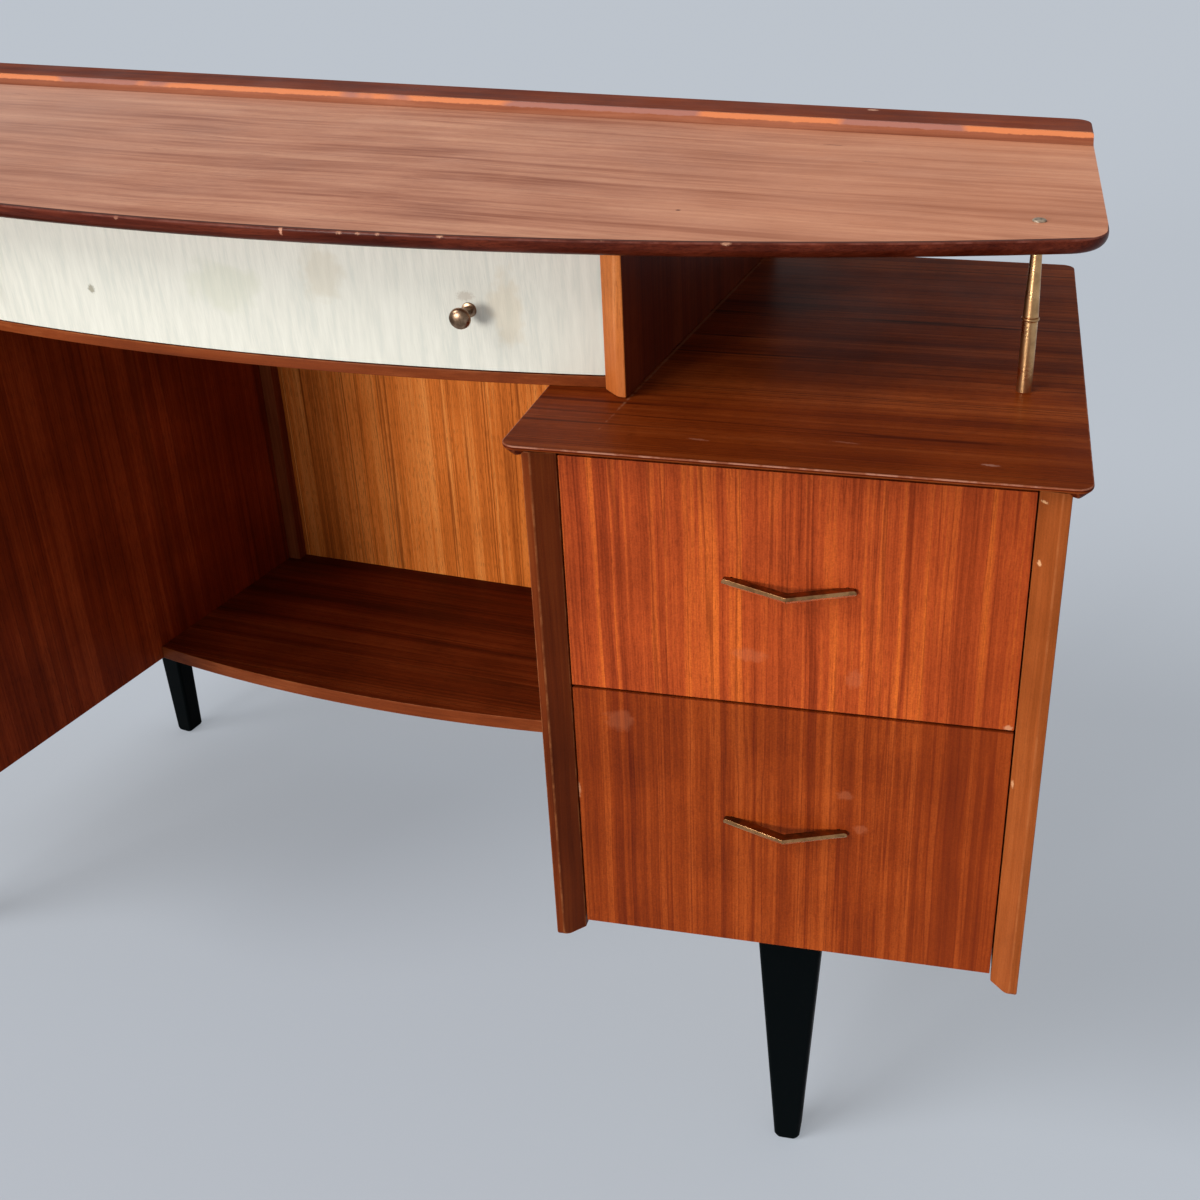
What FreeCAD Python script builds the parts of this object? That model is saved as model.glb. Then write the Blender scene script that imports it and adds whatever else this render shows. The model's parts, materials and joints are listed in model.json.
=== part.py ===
# Bow-fronted dressing table desk: two turned pedestals, a centre drawer case and a floating top
import FreeCAD
import Part
import math
import os
import Sketcher

doc = FreeCAD.newDocument("DressingTableDesk")
sheet = doc.addObject("Spreadsheet::Sheet", "Sizes")


# Driving sizes in millimetres, the turn of the pedestals in degrees
SIZES = {
    # whole desk
    "HalfDepth": 244.425,
    "BowRadius": 1584.0,
    "TurnDegrees": 5.5,
    # floating top
    "TopDepth": 461.0,
    "TopThick": 11.0,
    "TopHalf": 608.0,
    "LipWidth": 12.0,
    "LipRound": 9.0,
    "FrontCorner": 30.0,
    "BackCorner": 16.0,
    "RailWidth": 57.0,
    "RailRise": 8.0,
    "CoveRun": 11.0,
    "RailEdge": 2.0,
    # posts
    "PostInset": 46.0,
    "PostSetback": 48.4,
    "PostLowerRadius": 4.85,
    "PostUpperRadius": 4.7,
    "PostTipRadius": 2.8,
    "PostLowerHeight": 50.0,
    "CollarRadius": 5.4,
    "CollarHeight": 2.4,
    "CollarEdge": 0.6,
    # centre drawer case
    "CaseHeight": 105.0,
    "CaseInset": 127.4,
    "CaseThick": 18.5,
    "CaseSetback": 52.0,
    "CaseNose": 5.5,
    "CaseBevel": 11.0,
    "CaseBevelLead": 4.0,
    "CaseBottomThick": 8.0,
    "CaseLipWidth": 10.0,
    "CaseBackThick": 6.0,
    "CaseBackInset": 8.0,
    # pedestals
    "PedInset": 171.1,
    "PedSetback": 9.3,
    "PedTopThick": 12.0,
    "PedTopSide": 11.5,
    "PedTopFront": 21.0,
    "PedTopBack": 1.0,
    "PedTopUndercut": 9.5,
    "PedTopCorner": 10.5,
    "PanelThick": 18.5,
    "PanelBottom": 238.0,
    "PedBackInset": 15.7,
    "StileForward": 12.8,
    "StileNose": 5.5,
    "StileBack": 8.0,
    "StileDrop": 5.0,
    "StileTipRound": 5.0,
    "PedBackThick": 6.0,
    "BottomRise": 5.0,
    "BottomThick": 12.0,
    "RunnerWidth": 16.0,
    "RunnerHeight": 8.0,
    "RunnerEndGap": 3.0,
    # pedestal drawers
    "DrawerWidth": 297.0,
    "DrawerGap": 1.0,
    "DrawerFloorGap": 1.8,
    "LowerDrawerHeight": 207.0,
    "DrawerSplitGap": 2.4,
    "UpperDrawerHeight": 171.3,
    "DrawerTopGap": 1.5,
    "DrawerThick": 18.0,
    "BoxThick": 10.0,
    "BoxBackGap": 17.0,
    "BoxGap": 2.0,
    "BoxTopDrop": 18.0,
    "BoxBackDrop": 10.0,
    "UpperBoxRise": 10.0,
    "RunGap": 0.3,
    "FloorThick": 4.0,
    "FloorRise": 8.0,
    "GrooveDepth": 5.0,
    # pulls
    "PullHalf": 43.5,
    "PullRise": 7.0,
    "PullTipHeight": 5.0,
    "PullMidHeight": 5.0,
    "PullDip": 3.6,
    "PullReach": 15.0,
    "PullTipThick": 3.4,
    "PullMidThick": 7.0,
    "PullPad": 11.0,
    "PullTipRound": 2.2,
    "PullStudInset": 6.0,
    "PullStudRadius": 2.0,
    "PullStudLength": 12.0,
    "StudClear": 0.3,
    # centre drawer
    "CentreGap": 1.0,
    "CentreTopGap": 1.5,
    "CentreFrontThick": 15.5,
    "FacingThick": 2.5,
    "CentreBackGap": 52.0,
    "CentreBoxDrop": 14.0,
    "KnobInset": 91.0,
    "KnobRise": 51.5,
    "KnobPlateRadius": 5.2,
    "KnobPlateThick": 1.4,
    "KnobNeckRadius": 2.6,
    "KnobLength": 22.0,
    "KnobHeadRadius": 7.4,
    "KnobHeadThick": 7.0,
    "KnobHeadDome": 2.2,
    "KnobStudRadius": 1.8,
    "KnobStudLength": 10.0,
    # kneehole
    "KneeBackGap": 0.5,
    "KneeBackThick": 5.0,
    "KneeBackLap": 1.2,
    "BattenWidth": 12.5,
    "ShelfSetback": 198.0,
    "ShelfThick": 13.0,
    "ShelfLipWidth": 10.0,
    "SeatGap": 0.3,
    # legs
    "PlateThick": 2.5,
    "LegFrontTopWidth": 52.0,
    "LegBackTopWidth": 31.0,
    "LegTopDepth": 25.0,
    "LegFootWidth": 21.5,
    "LegFootDepth": 20.0,
    "LegRound": 3.4,
    "LegFootEdge": 1.4,
    "LegFrontInset": 42.0,
    "LegBackInset": 37.0,
    "PlateLength": 76.0,
    "PlateWidth": 38.0,
}


class Size:
    """A length with the spreadsheet expression that gives it."""

    def __init__(self, value, text):
        self.value = float(value)
        self.text = text

    def __add__(self, other):
        return Size(self.value + as_size(other).value, f"({self.text} + {as_size(other).text})")

    def __sub__(self, other):
        return Size(self.value - as_size(other).value, f"({self.text} - {as_size(other).text})")

    def __mul__(self, other):
        return Size(self.value * as_size(other).value, f"({self.text} * {as_size(other).text})")

    def __truediv__(self, other):
        return Size(self.value / as_size(other).value, f"({self.text} / {as_size(other).text})")

    def __neg__(self):
        return Size(-self.value, f"(-{self.text})")


def as_size(value):
    return value if isinstance(value, Size) else Size(value, repr(float(value)))


def root(size):
    return Size(math.sqrt(size.value), f"sqrt({size.text})")


def sine(size):
    return Size(math.sin(math.radians(size.value)), f"sin({size.text})")


def cosine(size):
    return Size(math.cos(math.radians(size.value)), f"cos({size.text})")


def tangent(size):
    return Size(math.tan(math.radians(size.value)), f"tan({size.text})")


def arcsine(size):
    return Size(math.degrees(math.asin(size.value)), f"asin({size.text})")


class Sheet:
    """The spreadsheet's cells as sizes."""

    def __init__(self, values):
        for row, (name, value) in enumerate(values.items(), 1):
            sheet.set(f"A{row}", name)
            sheet.set(f"B{row}", str(value))
            sheet.setAlias(f"B{row}", name)
            setattr(self, name, Size(value, f"Sizes.{name}"))
        doc.recompute()


S = Sheet(SIZES)
ZERO = as_size(0)


class Bow:
    """A circle about (x, y) whose lower half gives the y of the corners that lie on it."""

    def __init__(self, x, y, radius):
        self.x = x
        self.y = y
        self.radius = radius

    def at(self, x):
        across = x - self.x
        return self.y - root(self.radius * self.radius - across * across)


# Places shared by several pieces
top_front = S.HalfDepth - S.TopDepth
bow_y = top_front + S.BowRadius
top_bow = Bow(ZERO, bow_y, S.BowRadius)
bottom_z = S.PanelBottom + S.BottomRise
leg_top = bottom_z - S.PlateThick
lower_low = S.PanelBottom + S.DrawerFloorGap
lower_high = lower_low + S.LowerDrawerHeight
upper_low = lower_high + S.DrawerSplitGap
upper_high = upper_low + S.UpperDrawerHeight
ped_ceiling = upper_high + S.DrawerTopGap
ped_top_z = ped_ceiling + S.PedTopThick
top_bottom = ped_top_z + S.CaseHeight
top_z = top_bottom + S.TopThick
ped_x = S.TopHalf - S.PedInset
ped_y = top_front + S.PedSetback
ped_depth = S.TopDepth - S.PedSetback - S.PedBackInset
ped_half = S.DrawerWidth / 2 + S.DrawerGap + S.PanelThick
ped_inner = ped_half - S.PanelThick
case_half = ped_x - S.CaseInset
case_inner = case_half - S.CaseThick
case_bow = Bow(ZERO, bow_y, S.BowRadius - S.CaseSetback)
case_floor = ped_top_z + S.CaseBottomThick
case_back = S.HalfDepth - S.CaseBackInset
post_x = S.TopHalf - S.PostInset
post_y = top_bow.at(post_x) + S.PostSetback
turn_sine = sine(S.TurnDegrees)
turn_cosine = cosine(S.TurnDegrees)
turn_tangent = tangent(S.TurnDegrees)
knee_back = ped_y - ped_half * turn_sine + ped_depth * turn_cosine + S.KneeBackGap


def knee_x(y):
    """Half the kneehole's width at y, where the pedestals' turned inner faces stand."""
    face_x = ped_x - ped_half * turn_cosine
    face_y = ped_y - ped_half * turn_sine
    return face_x - (y - face_y) * turn_tangent


class Frame:
    """A turned origin that pieces are placed in."""

    def __init__(self, x=ZERO, y=ZERO, turn=ZERO):
        self.text = placement_text(x, y, ZERO, turn)


def placement_text(x, y, z, turn):
    place = f"vector({x.text}; {y.text}; {z.text})"
    return f"placement({place}; rotation(vector(0; 0; 1); {turn.text}))"


def set_place(item, frame, x=ZERO, y=ZERO, z=ZERO, turn=ZERO):
    item.setExpression("Placement", f"{frame.text} * {placement_text(x, y, z, turn)}")


DESK = Frame()
PEDESTALS = {
    "right": Frame(ped_x, ped_y, S.TurnDegrees),
    "left": Frame(-ped_x, ped_y, -S.TurnDegrees),
}


def board(name, frame, x_span, y_span, z_span):
    """A plain board between two sizes along each axis."""
    item = doc.addObject("Part::Box", name)
    item.setExpression("Length", (x_span[1] - x_span[0]).text)
    item.setExpression("Width", (y_span[1] - y_span[0]).text)
    item.setExpression("Height", (z_span[1] - z_span[0]).text)
    set_place(item, frame, x_span[0], y_span[0], z_span[0])
    return item


def new_body(name, frame=DESK, x=ZERO, y=ZERO, z=ZERO, turn=ZERO):
    body = doc.addObject("PartDesign::Body", name)
    set_place(body, frame, x, y, z, turn)
    return body


def new_sketch(body, name, role, lift=None):
    """An empty sketch on one of the body's own origin planes, lifted along the plane's normal."""
    plane = [item for item in body.Origin.OriginFeatures if item.Role == role][0]
    sketch = body.newObject("Sketcher::SketchObject", name)
    sketch.AttachmentSupport = (plane, [""])
    sketch.MapMode = "FlatFace"
    if lift is not None:
        sketch.setExpression(".AttachmentOffset.Base.z", lift.text)
    return sketch


def fix(sketch, kind, geometry, point, size):
    index = sketch.addConstraint(Sketcher.Constraint(kind, -1, 1, geometry, point, size.value))
    sketch.setExpression(f"Constraints[{index}]", size.text)


def outline(body, name, role, corners, lift=None):
    """A closed sketch through corners; a corner whose second value is a Bow lies on that circle."""
    sketch = new_sketch(body, name, role, lift)
    spots = []
    for x, y in corners:
        height = y.at(x).value if isinstance(y, Bow) else y.value
        spots.append(FreeCAD.Vector(x.value, height, 0))
    edges = []
    for number, (x, y) in enumerate(corners):
        after = (number + 1) % len(corners)
        on_arc = isinstance(y, Bow) and corners[after][1] is y
        if not on_arc:
            edge = sketch.addGeometry(Part.LineSegment(spots[number], spots[after]), False)
            edges.append((edge, 1, 2))
            continue
        centre = FreeCAD.Vector(y.x.value, y.y.value, 0)
        circle = Part.Circle(centre, FreeCAD.Vector(0, 0, 1), y.radius.value)
        ends = (spots[number], spots[after])
        angles = [math.atan2(spot.y - centre.y, spot.x - centre.x) for spot in ends]
        edge = sketch.addGeometry(Part.ArcOfCircle(circle, min(angles), max(angles)), False)
        edges.append((edge, 1, 2) if angles[0] < angles[1] else (edge, 2, 1))
        fix(sketch, "DistanceX", edge, 3, y.x)
        fix(sketch, "DistanceY", edge, 3, y.y)
        radius = sketch.addConstraint(Sketcher.Constraint("Radius", edge, y.radius.value))
        sketch.setExpression(f"Constraints[{radius}]", y.radius.text)
    for number, (x, y) in enumerate(corners):
        edge, start, end = edges[number]
        last, last_start, last_end = edges[number - 1]
        sketch.addConstraint(Sketcher.Constraint("Coincident", last, last_end, edge, start))
        fix(sketch, "DistanceX", edge, start, x)
        if not isinstance(y, Bow):
            fix(sketch, "DistanceY", edge, start, y)
    return sketch


def circles(body, name, role, centres, radius, lift=None):
    """A sketch of equal circles."""
    sketch = new_sketch(body, name, role, lift)
    for x, y in centres:
        spot = FreeCAD.Vector(x.value, y.value, 0)
        edge = sketch.addGeometry(Part.Circle(spot, FreeCAD.Vector(0, 0, 1), radius.value), False)
        fix(sketch, "DistanceX", edge, 3, x)
        fix(sketch, "DistanceY", edge, 3, y)
        index = sketch.addConstraint(Sketcher.Constraint("Radius", edge, radius.value))
        sketch.setExpression(f"Constraints[{index}]", radius.text)
    return sketch


def pad(body, sketch, length, reversed_way=False, both_ways=False):
    feature = body.newObject("PartDesign::Pad", sketch.Name + "Pad")
    feature.Profile = sketch
    feature.setExpression("Length", length.text)
    feature.Reversed = reversed_way
    feature.Midplane = both_ways
    body.Tip = feature
    doc.recompute()
    return feature


def pocket(body, sketch, length, reversed_way=False, both_ways=False):
    """A pocket that must take material away."""
    before = body.Shape.Volume
    feature = body.newObject("PartDesign::Pocket", sketch.Name + "Pocket")
    feature.Profile = sketch
    feature.setExpression("Length", length.text)
    feature.Reversed = reversed_way
    feature.Midplane = both_ways
    body.Tip = feature
    doc.recompute()
    if body.Shape.Volume >= before:
        raise ValueError(f"{body.Name}: {feature.Name} cuts nothing")
    return feature


def revolve(body, sketch):
    feature = body.newObject("PartDesign::Revolution", sketch.Name + "Revolution")
    feature.Profile = sketch
    feature.ReferenceAxis = (sketch, ["V_Axis"])
    feature.Angle = 360
    body.Tip = feature
    doc.recompute()
    return feature


def dress(body, kind, size, test):
    """A fillet or chamfer on the edges of the body that pass the test."""
    base = body.Tip
    names = [f"Edge{n}" for n, edge in enumerate(base.Shape.Edges, 1) if test(edge)]
    if not names:
        raise ValueError(f"{body.Name}: no edge to dress")
    feature = body.newObject(f"PartDesign::{kind}", f"{body.Name}{kind}{len(body.Group)}")
    feature.Base = (base, names)
    feature.setExpression("Radius" if kind == "Fillet" else "Size", size.text)
    body.Tip = feature
    doc.recompute()
    return feature


NEAR_SHARE = 0.002


def close(one, other):
    """Whether two lengths agree to a small share of the desk's height."""
    return abs(one - other) < top_z.value * NEAR_SHARE


def upright(edge):
    """Whether an edge runs along Z."""
    box = edge.BoundBox
    return close(box.XLength, 0) and close(box.YLength, 0)


def level_at(edge, z):
    """Whether an edge lies flat at height z."""
    box = edge.BoundBox
    return close(box.ZMin, z.value) and close(box.ZMax, z.value)


def group(name, items):
    """One node that holds several separate solids."""
    item = doc.addObject("Part::Compound", name)
    item.Links = items
    return item


nodes = []


def keep(item, label):
    item.Label = label
    nodes.append(item)
    return item


# Floating top: veneered board, solid lipping round front and sides, raised back rail
def top_side_x(y, inset):
    """Half the top's width at y, measured inset from its side edges."""
    corner_y = top_bow.at(S.TopHalf)
    return S.TopHalf - inset / turn_cosine - (y - corner_y) * turn_tangent


rail_foot = S.HalfDepth - S.RailWidth - S.CoveRun
inner_bow = Bow(ZERO, bow_y, S.BowRadius - S.LipWidth)
inner_front = S.TopHalf - S.LipWidth / turn_cosine - S.LipWidth * turn_tangent
inner_back = top_side_x(rail_foot, S.LipWidth)
outer_back = top_side_x(rail_foot, ZERO)

top_board = new_body("TopBoard", z=top_bottom)
top_board_sketch = outline(top_board, "TopBoardOutline", "XY_Plane", [
    (inner_back, rail_foot), (inner_front, inner_bow),
    (-inner_front, inner_bow), (-inner_back, rail_foot)])
pad(top_board, top_board_sketch, S.TopThick)
dress(top_board, "Fillet", S.FrontCorner - S.LipWidth,
      lambda edge: upright(edge) and edge.BoundBox.YMax < 0)
keep(top_board, "top_board")

lipping = new_body("TopLipping", z=top_bottom)
lipping_sketch = outline(lipping, "LippingOutline", "XY_Plane", [
    (outer_back, rail_foot), (S.TopHalf, top_bow), (-S.TopHalf, top_bow), (-outer_back, rail_foot),
    (-inner_back, rail_foot), (-inner_front, inner_bow),
    (inner_front, inner_bow), (inner_back, rail_foot)])
pad(lipping, lipping_sketch, S.TopThick)
mid_half = (S.TopHalf.value + inner_front.value) / 2
dress(lipping, "Fillet", S.FrontCorner,
      lambda edge: upright(edge) and edge.BoundBox.YMax < 0 and abs(edge.BoundBox.XMax) > mid_half)
dress(lipping, "Fillet", S.FrontCorner - S.LipWidth,
      lambda edge: upright(edge) and edge.BoundBox.YMax < 0 and abs(edge.BoundBox.XMax) < mid_half
      and abs(edge.BoundBox.XMax) > inner_back.value - S.FrontCorner.value)


def lies_outside(edge):
    """Whether an edge is on the outer side of the lipping's underside."""
    spot = edge.valueAt((edge.FirstParameter + edge.LastParameter) / 2)
    reach = math.hypot(spot.x, spot.y - bow_y.value)
    half = S.LipWidth.value / 2
    on_bow = reach > S.BowRadius.value - half
    side = S.TopHalf.value - (spot.y - top_bow.at(S.TopHalf).value) * turn_tangent.value
    return on_bow or abs(spot.x) > side - half


dress(lipping, "Fillet", S.LipRound,
      lambda edge: level_at(edge, ZERO) and lies_outside(edge) and not (
          close(edge.BoundBox.YLength, 0) and close(edge.BoundBox.YMax, rail_foot.value)))
keep(lipping, "top_lipping")

rail = new_body("BackRail", z=top_bottom)
rail_top = S.TopThick + S.RailRise
cove_radius = (S.CoveRun * S.CoveRun + S.RailRise * S.RailRise) / (S.RailRise * 2)
cove = Bow(rail_foot, S.TopThick + cove_radius, cove_radius)
rail_sketch = outline(rail, "RailProfile", "YZ_Plane", [
    (rail_foot, ZERO), (rail_foot, cove), (rail_foot + S.CoveRun, cove),
    (S.HalfDepth, rail_top), (S.HalfDepth, ZERO)])
pad(rail, rail_sketch, outer_back * 2, both_ways=True)
back_half = top_side_x(S.HalfDepth, ZERO)
for way, name in ((1, "RailEndRight"), (-1, "RailEndLeft")):
    end_sketch = outline(rail, name, "XY_Plane", [
        (outer_back * way, rail_foot), (back_half * way, S.HalfDepth),
        ((outer_back + S.LipWidth) * way, S.HalfDepth), ((outer_back + S.LipWidth) * way, rail_foot)])
    pocket(rail, end_sketch, rail_top, reversed_way=True)
dress(rail, "Fillet", S.BackCorner,
      lambda edge: upright(edge) and close(edge.BoundBox.YMax, S.HalfDepth.value))
dress(rail, "Fillet", S.LipRound,
      lambda edge: level_at(edge, ZERO) and not close(edge.BoundBox.YMax, rail_foot.value))
dress(rail, "Fillet", S.RailEdge,
      lambda edge: level_at(edge, rail_top)
      and not close(edge.BoundBox.YMax, (rail_foot + S.CoveRun).value))
keep(rail, "top_back_rail")


def turned(name, frame, x, y, z, profile, turn=ZERO):
    """A round piece: profile is (radius, height) corners, closed back along the axis."""
    body = new_body(name, frame, x, y, z, turn)
    corners = [(ZERO, profile[0][1])] + profile + [(ZERO, profile[-1][1])]
    revolve(body, outline(body, name + "Profile", "XZ_Plane", corners))
    return body


# Posts: two-part tapered brass posts with a collar
post_parts = {"post_lower": [], "post_collars": [], "post_upper": []}
collar_z = ped_top_z + S.PostLowerHeight
upper_z = collar_z + S.CollarHeight
upper_height = top_bottom - upper_z
for side, way in (("Right", 1), ("Left", -1)):
    x = post_x * way
    post_parts["post_lower"].append(turned(
        "PostLower" + side, DESK, x, post_y, ped_top_z,
        [(S.PostLowerRadius, ZERO), (S.PostLowerRadius, S.PostLowerHeight)]))
    collar_rim = S.CollarRadius - S.CollarEdge
    post_parts["post_collars"].append(turned(
        "PostCollar" + side, DESK, x, post_y, collar_z,
        [(collar_rim, ZERO), (S.CollarRadius, S.CollarEdge),
         (S.CollarRadius, S.CollarHeight - S.CollarEdge), (collar_rim, S.CollarHeight)]))
    post_parts["post_upper"].append(turned(
        "PostUpper" + side, DESK, x, post_y, upper_z,
        [(S.PostUpperRadius, ZERO), (S.PostTipRadius, upper_height)]))
for label, items in post_parts.items():
    keep(group(label.title().replace("_", ""), items), label)


# Centre drawer case between the pedestals and the top
case_sides = []
bevel_back = case_bow.at(case_inner) - S.CaseBevelLead
nose_front = bevel_back - S.CaseBevel
for side, way in (("Right", 1), ("Left", -1)):
    case_side = new_body("CaseSide" + side, z=ped_top_z)
    side_sketch = outline(case_side, "CaseSideOutline" + side, "XY_Plane", [
        (case_inner * way, case_back), (case_inner * way, bevel_back),
        ((case_half - S.CaseNose) * way, nose_front), (case_half * way, nose_front),
        (case_half * way, case_back)])
    pad(case_side, side_sketch, top_bottom - ped_top_z)
    case_sides.append(case_side)
keep(group("CaseSides", case_sides), "case_sides")

case_lip_bow = Bow(ZERO, bow_y, case_bow.radius - S.CaseLipWidth)
case_bottom = new_body("CaseBottom", z=ped_top_z)
case_bottom_sketch = outline(case_bottom, "CaseBottomOutline", "XY_Plane", [
    (case_inner, case_back - S.CaseBackThick), (case_inner, case_lip_bow),
    (-case_inner, case_lip_bow), (-case_inner, case_back - S.CaseBackThick)])
pad(case_bottom, case_bottom_sketch, S.CaseBottomThick)
keep(case_bottom, "case_bottom")


def bow_strip(name, outer, inner, half, z, height):
    """A bowed strip between two circles about the same centre."""
    body = new_body(name, z=z)
    sketch = outline(body, name + "Outline", "XY_Plane", [
        (half, outer), (-half, outer), (-half, inner), (half, inner)])
    pad(body, sketch, height)
    return body


case_lip = bow_strip("CaseLip", case_bow, case_lip_bow, case_inner, ped_top_z, S.CaseBottomThick)
keep(case_lip, "case_front_lip")
keep(board("CaseBack", DESK, (-case_inner, case_inner), (case_back - S.CaseBackThick, case_back),
           (ped_top_z, top_bottom)), "case_back")


# Pedestals: turned outwards to follow the bow
leg_spots = {"front": S.LegFrontInset, "back": ped_depth - S.LegBackInset}
lower_box_z = bottom_z + S.BottomThick + S.RunnerHeight + S.RunGap
upper_box_z = upper_low + S.UpperBoxRise
runner_front = S.DrawerThick + S.RunnerEndGap
runner_back = ped_depth - S.PedBackThick
box_depth = runner_back - S.BoxBackGap - S.DrawerThick


def pedestal(side, frame):
    """The fixed pieces of one pedestal."""
    title = side.title()
    ped_top_half = ped_half + S.PedTopSide
    ped_top = new_body(title + "PedTop", frame, z=ped_ceiling)
    sketch = outline(ped_top, title + "PedTopOutline", "XY_Plane", [
        (ped_top_half, ped_depth + S.PedTopBack), (ped_top_half, -S.PedTopFront),
        (-ped_top_half, -S.PedTopFront), (-ped_top_half, ped_depth + S.PedTopBack)])
    pad(ped_top, sketch, S.PedTopThick)
    dress(ped_top, "Fillet", S.PedTopCorner, upright)
    dress(ped_top, "Chamfer", S.PedTopUndercut, lambda edge: level_at(edge, ZERO) and not (
        close(edge.BoundBox.YLength, 0) and edge.BoundBox.YMax > ped_depth.value / 2))
    keep(ped_top, side + "_pedestal_top")

    inner_way = -1 if side == "right" else 1
    for label, way in (("inner", inner_way), ("outer", -inner_way)):
        low, high = sorted((ped_inner * way, ped_half * way), key=lambda size: size.value)
        panel = board(title + "Side" + label.title(), frame, (low, high),
                      (S.StileBack, ped_depth), (S.PanelBottom, ped_ceiling))
        keep(panel, f"{side}_pedestal_side_{label}")

    stiles = []
    stile_foot = S.PanelBottom - S.StileDrop
    for way in (1, -1):
        name = title + "Stile" + ("Right" if way > 0 else "Left")
        stile = new_body(name, frame, z=stile_foot)
        sketch = outline(stile, name + "Section", "XY_Plane", [
            (ped_half * way, -S.StileForward), ((ped_half - S.StileNose) * way, -S.StileForward),
            (ped_inner * way, ZERO), (ped_inner * way, S.StileBack), (ped_half * way, S.StileBack)])
        pad(stile, sketch, ped_ceiling - stile_foot)
        dress(stile, "Fillet", S.StileTipRound, lambda edge: level_at(edge, ZERO)
              and close(edge.BoundBox.YMax, -S.StileForward.value)
              and close(edge.BoundBox.YLength, 0))
        stiles.append(stile)
    keep(group(title + "Stiles", stiles), side + "_pedestal_stiles")

    keep(board(title + "PedBack", frame, (-ped_inner, ped_inner), (runner_back, ped_depth),
               (bottom_z, ped_ceiling)), side + "_pedestal_back")

    keep(board(title + "PedBottom", frame, (-ped_inner, ped_inner), (runner_front, runner_back),
               (bottom_z, bottom_z + S.BottomThick)), side + "_pedestal_bottom")

    runners = []
    for level, top in (("Lower", lower_box_z), ("Upper", upper_box_z)):
        z_span = (top - S.RunGap - S.RunnerHeight, top - S.RunGap)
        for way in (1, -1):
            faces = (ped_inner * way, (ped_inner - S.RunnerWidth) * way)
            low, high = sorted(faces, key=lambda size: size.value)
            name = title + level + "Runner" + ("Right" if way > 0 else "Left")
            runners.append(board(name, frame, (low, high), (runner_front, runner_back), z_span))
    keep(group(title + "Runners", runners), side + "_pedestal_runners")


for side, frame in PEDESTALS.items():
    pedestal(side, frame)


# Kneehole: back panel, corner battens and bow-fronted shelf between the turned pedestals
knee_back_half = knee_x(knee_back) + S.KneeBackLap
knee_neck_half = knee_x(knee_back + S.KneeBackThick) - S.PedTopSide / turn_cosine - S.SeatGap
knee_panel = new_body("KneeBack", y=knee_back)
knee_panel_sketch = outline(knee_panel, "KneeBackOutline", "XZ_Plane", [
    (knee_back_half, S.PanelBottom), (knee_back_half, ped_ceiling), (knee_neck_half, ped_ceiling),
    (knee_neck_half, ped_top_z), (-knee_neck_half, ped_top_z), (-knee_neck_half, ped_ceiling),
    (-knee_back_half, ped_ceiling), (-knee_back_half, S.PanelBottom)])
pad(knee_panel, knee_panel_sketch, S.KneeBackThick, reversed_way=True)
keep(knee_panel, "kneehole_back")

shelf_top = S.PanelBottom + S.ShelfThick
battens = []
for side, way in (("Right", 1), ("Left", -1)):
    batten = new_body("Batten" + side, z=shelf_top)
    batten_front = knee_back - S.BattenWidth
    sketch = outline(batten, "BattenSection" + side, "XY_Plane", [
        ((knee_x(knee_back) - S.SeatGap) * way, knee_back),
        ((knee_x(batten_front) - S.SeatGap) * way, batten_front),
        ((knee_x(knee_back) - S.BattenWidth) * way, batten_front),
        ((knee_x(knee_back) - S.BattenWidth) * way, knee_back)])
    pad(batten, sketch, ped_ceiling - shelf_top)
    battens.append(batten)
keep(group("Battens", battens), "kneehole_battens")

shelf_bow = Bow(ZERO, bow_y, S.BowRadius - S.ShelfSetback)
shelf_inner_bow = Bow(ZERO, bow_y, shelf_bow.radius - S.ShelfLipWidth)


def shelf_half(bow):
    """Half the shelf's width where the bow meets the pedestals' inner faces."""
    middle = bow.at(ZERO)
    return knee_x(bow.at(knee_x(middle))) - S.SeatGap


shelf_back_half = knee_x(knee_back) - S.SeatGap
shelf = new_body("Shelf", z=S.PanelBottom)
shelf_sketch = outline(shelf, "ShelfOutline", "XY_Plane", [
    (shelf_back_half, knee_back), (shelf_half(shelf_inner_bow), shelf_inner_bow),
    (-shelf_half(shelf_inner_bow), shelf_inner_bow), (-shelf_back_half, knee_back)])
pad(shelf, shelf_sketch, S.ShelfThick)
keep(shelf, "shelf_board")

shelf_lip = new_body("ShelfLip", z=S.PanelBottom)
shelf_lip_sketch = outline(shelf_lip, "ShelfLipOutline", "XY_Plane", [
    (shelf_half(shelf_bow), shelf_bow), (-shelf_half(shelf_bow), shelf_bow),
    (-shelf_half(shelf_inner_bow), shelf_inner_bow), (shelf_half(shelf_inner_bow), shelf_inner_bow)])
pad(shelf_lip, shelf_lip_sketch, S.ShelfThick)
keep(shelf_lip, "shelf_front_lip")


# Legs: flat tapered legs on steel plates under each pedestal
def tapered_leg(name, frame, y, top_width):
    """A leg whose front view is padded and whose depth is then tapered by two cuts."""
    body = new_body(name, frame, y=y)
    foot = S.LegFootWidth / 2
    head = top_width / 2
    front_view = outline(body, name + "Front", "XZ_Plane", [
        (foot, ZERO), (head, leg_top), (-head, leg_top), (-foot, ZERO)])
    pad(body, front_view, S.LegTopDepth, both_ways=True)
    for way, title in ((1, "BackCut"), (-1, "FrontCut")):
        cut = outline(body, name + title, "YZ_Plane", [
            (S.LegFootDepth / 2 * way, ZERO), (S.LegTopDepth / 2 * way, leg_top),
            (S.LegTopDepth * way, leg_top), (S.LegTopDepth * way, ZERO)])
        pocket(body, cut, top_width * 2, both_ways=True)
    tall = leg_top.value / 2
    dress(body, "Fillet", S.LegRound, lambda edge: edge.BoundBox.ZLength > tall)
    dress(body, "Chamfer", S.LegFootEdge, lambda edge: level_at(edge, ZERO))
    return body


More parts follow.
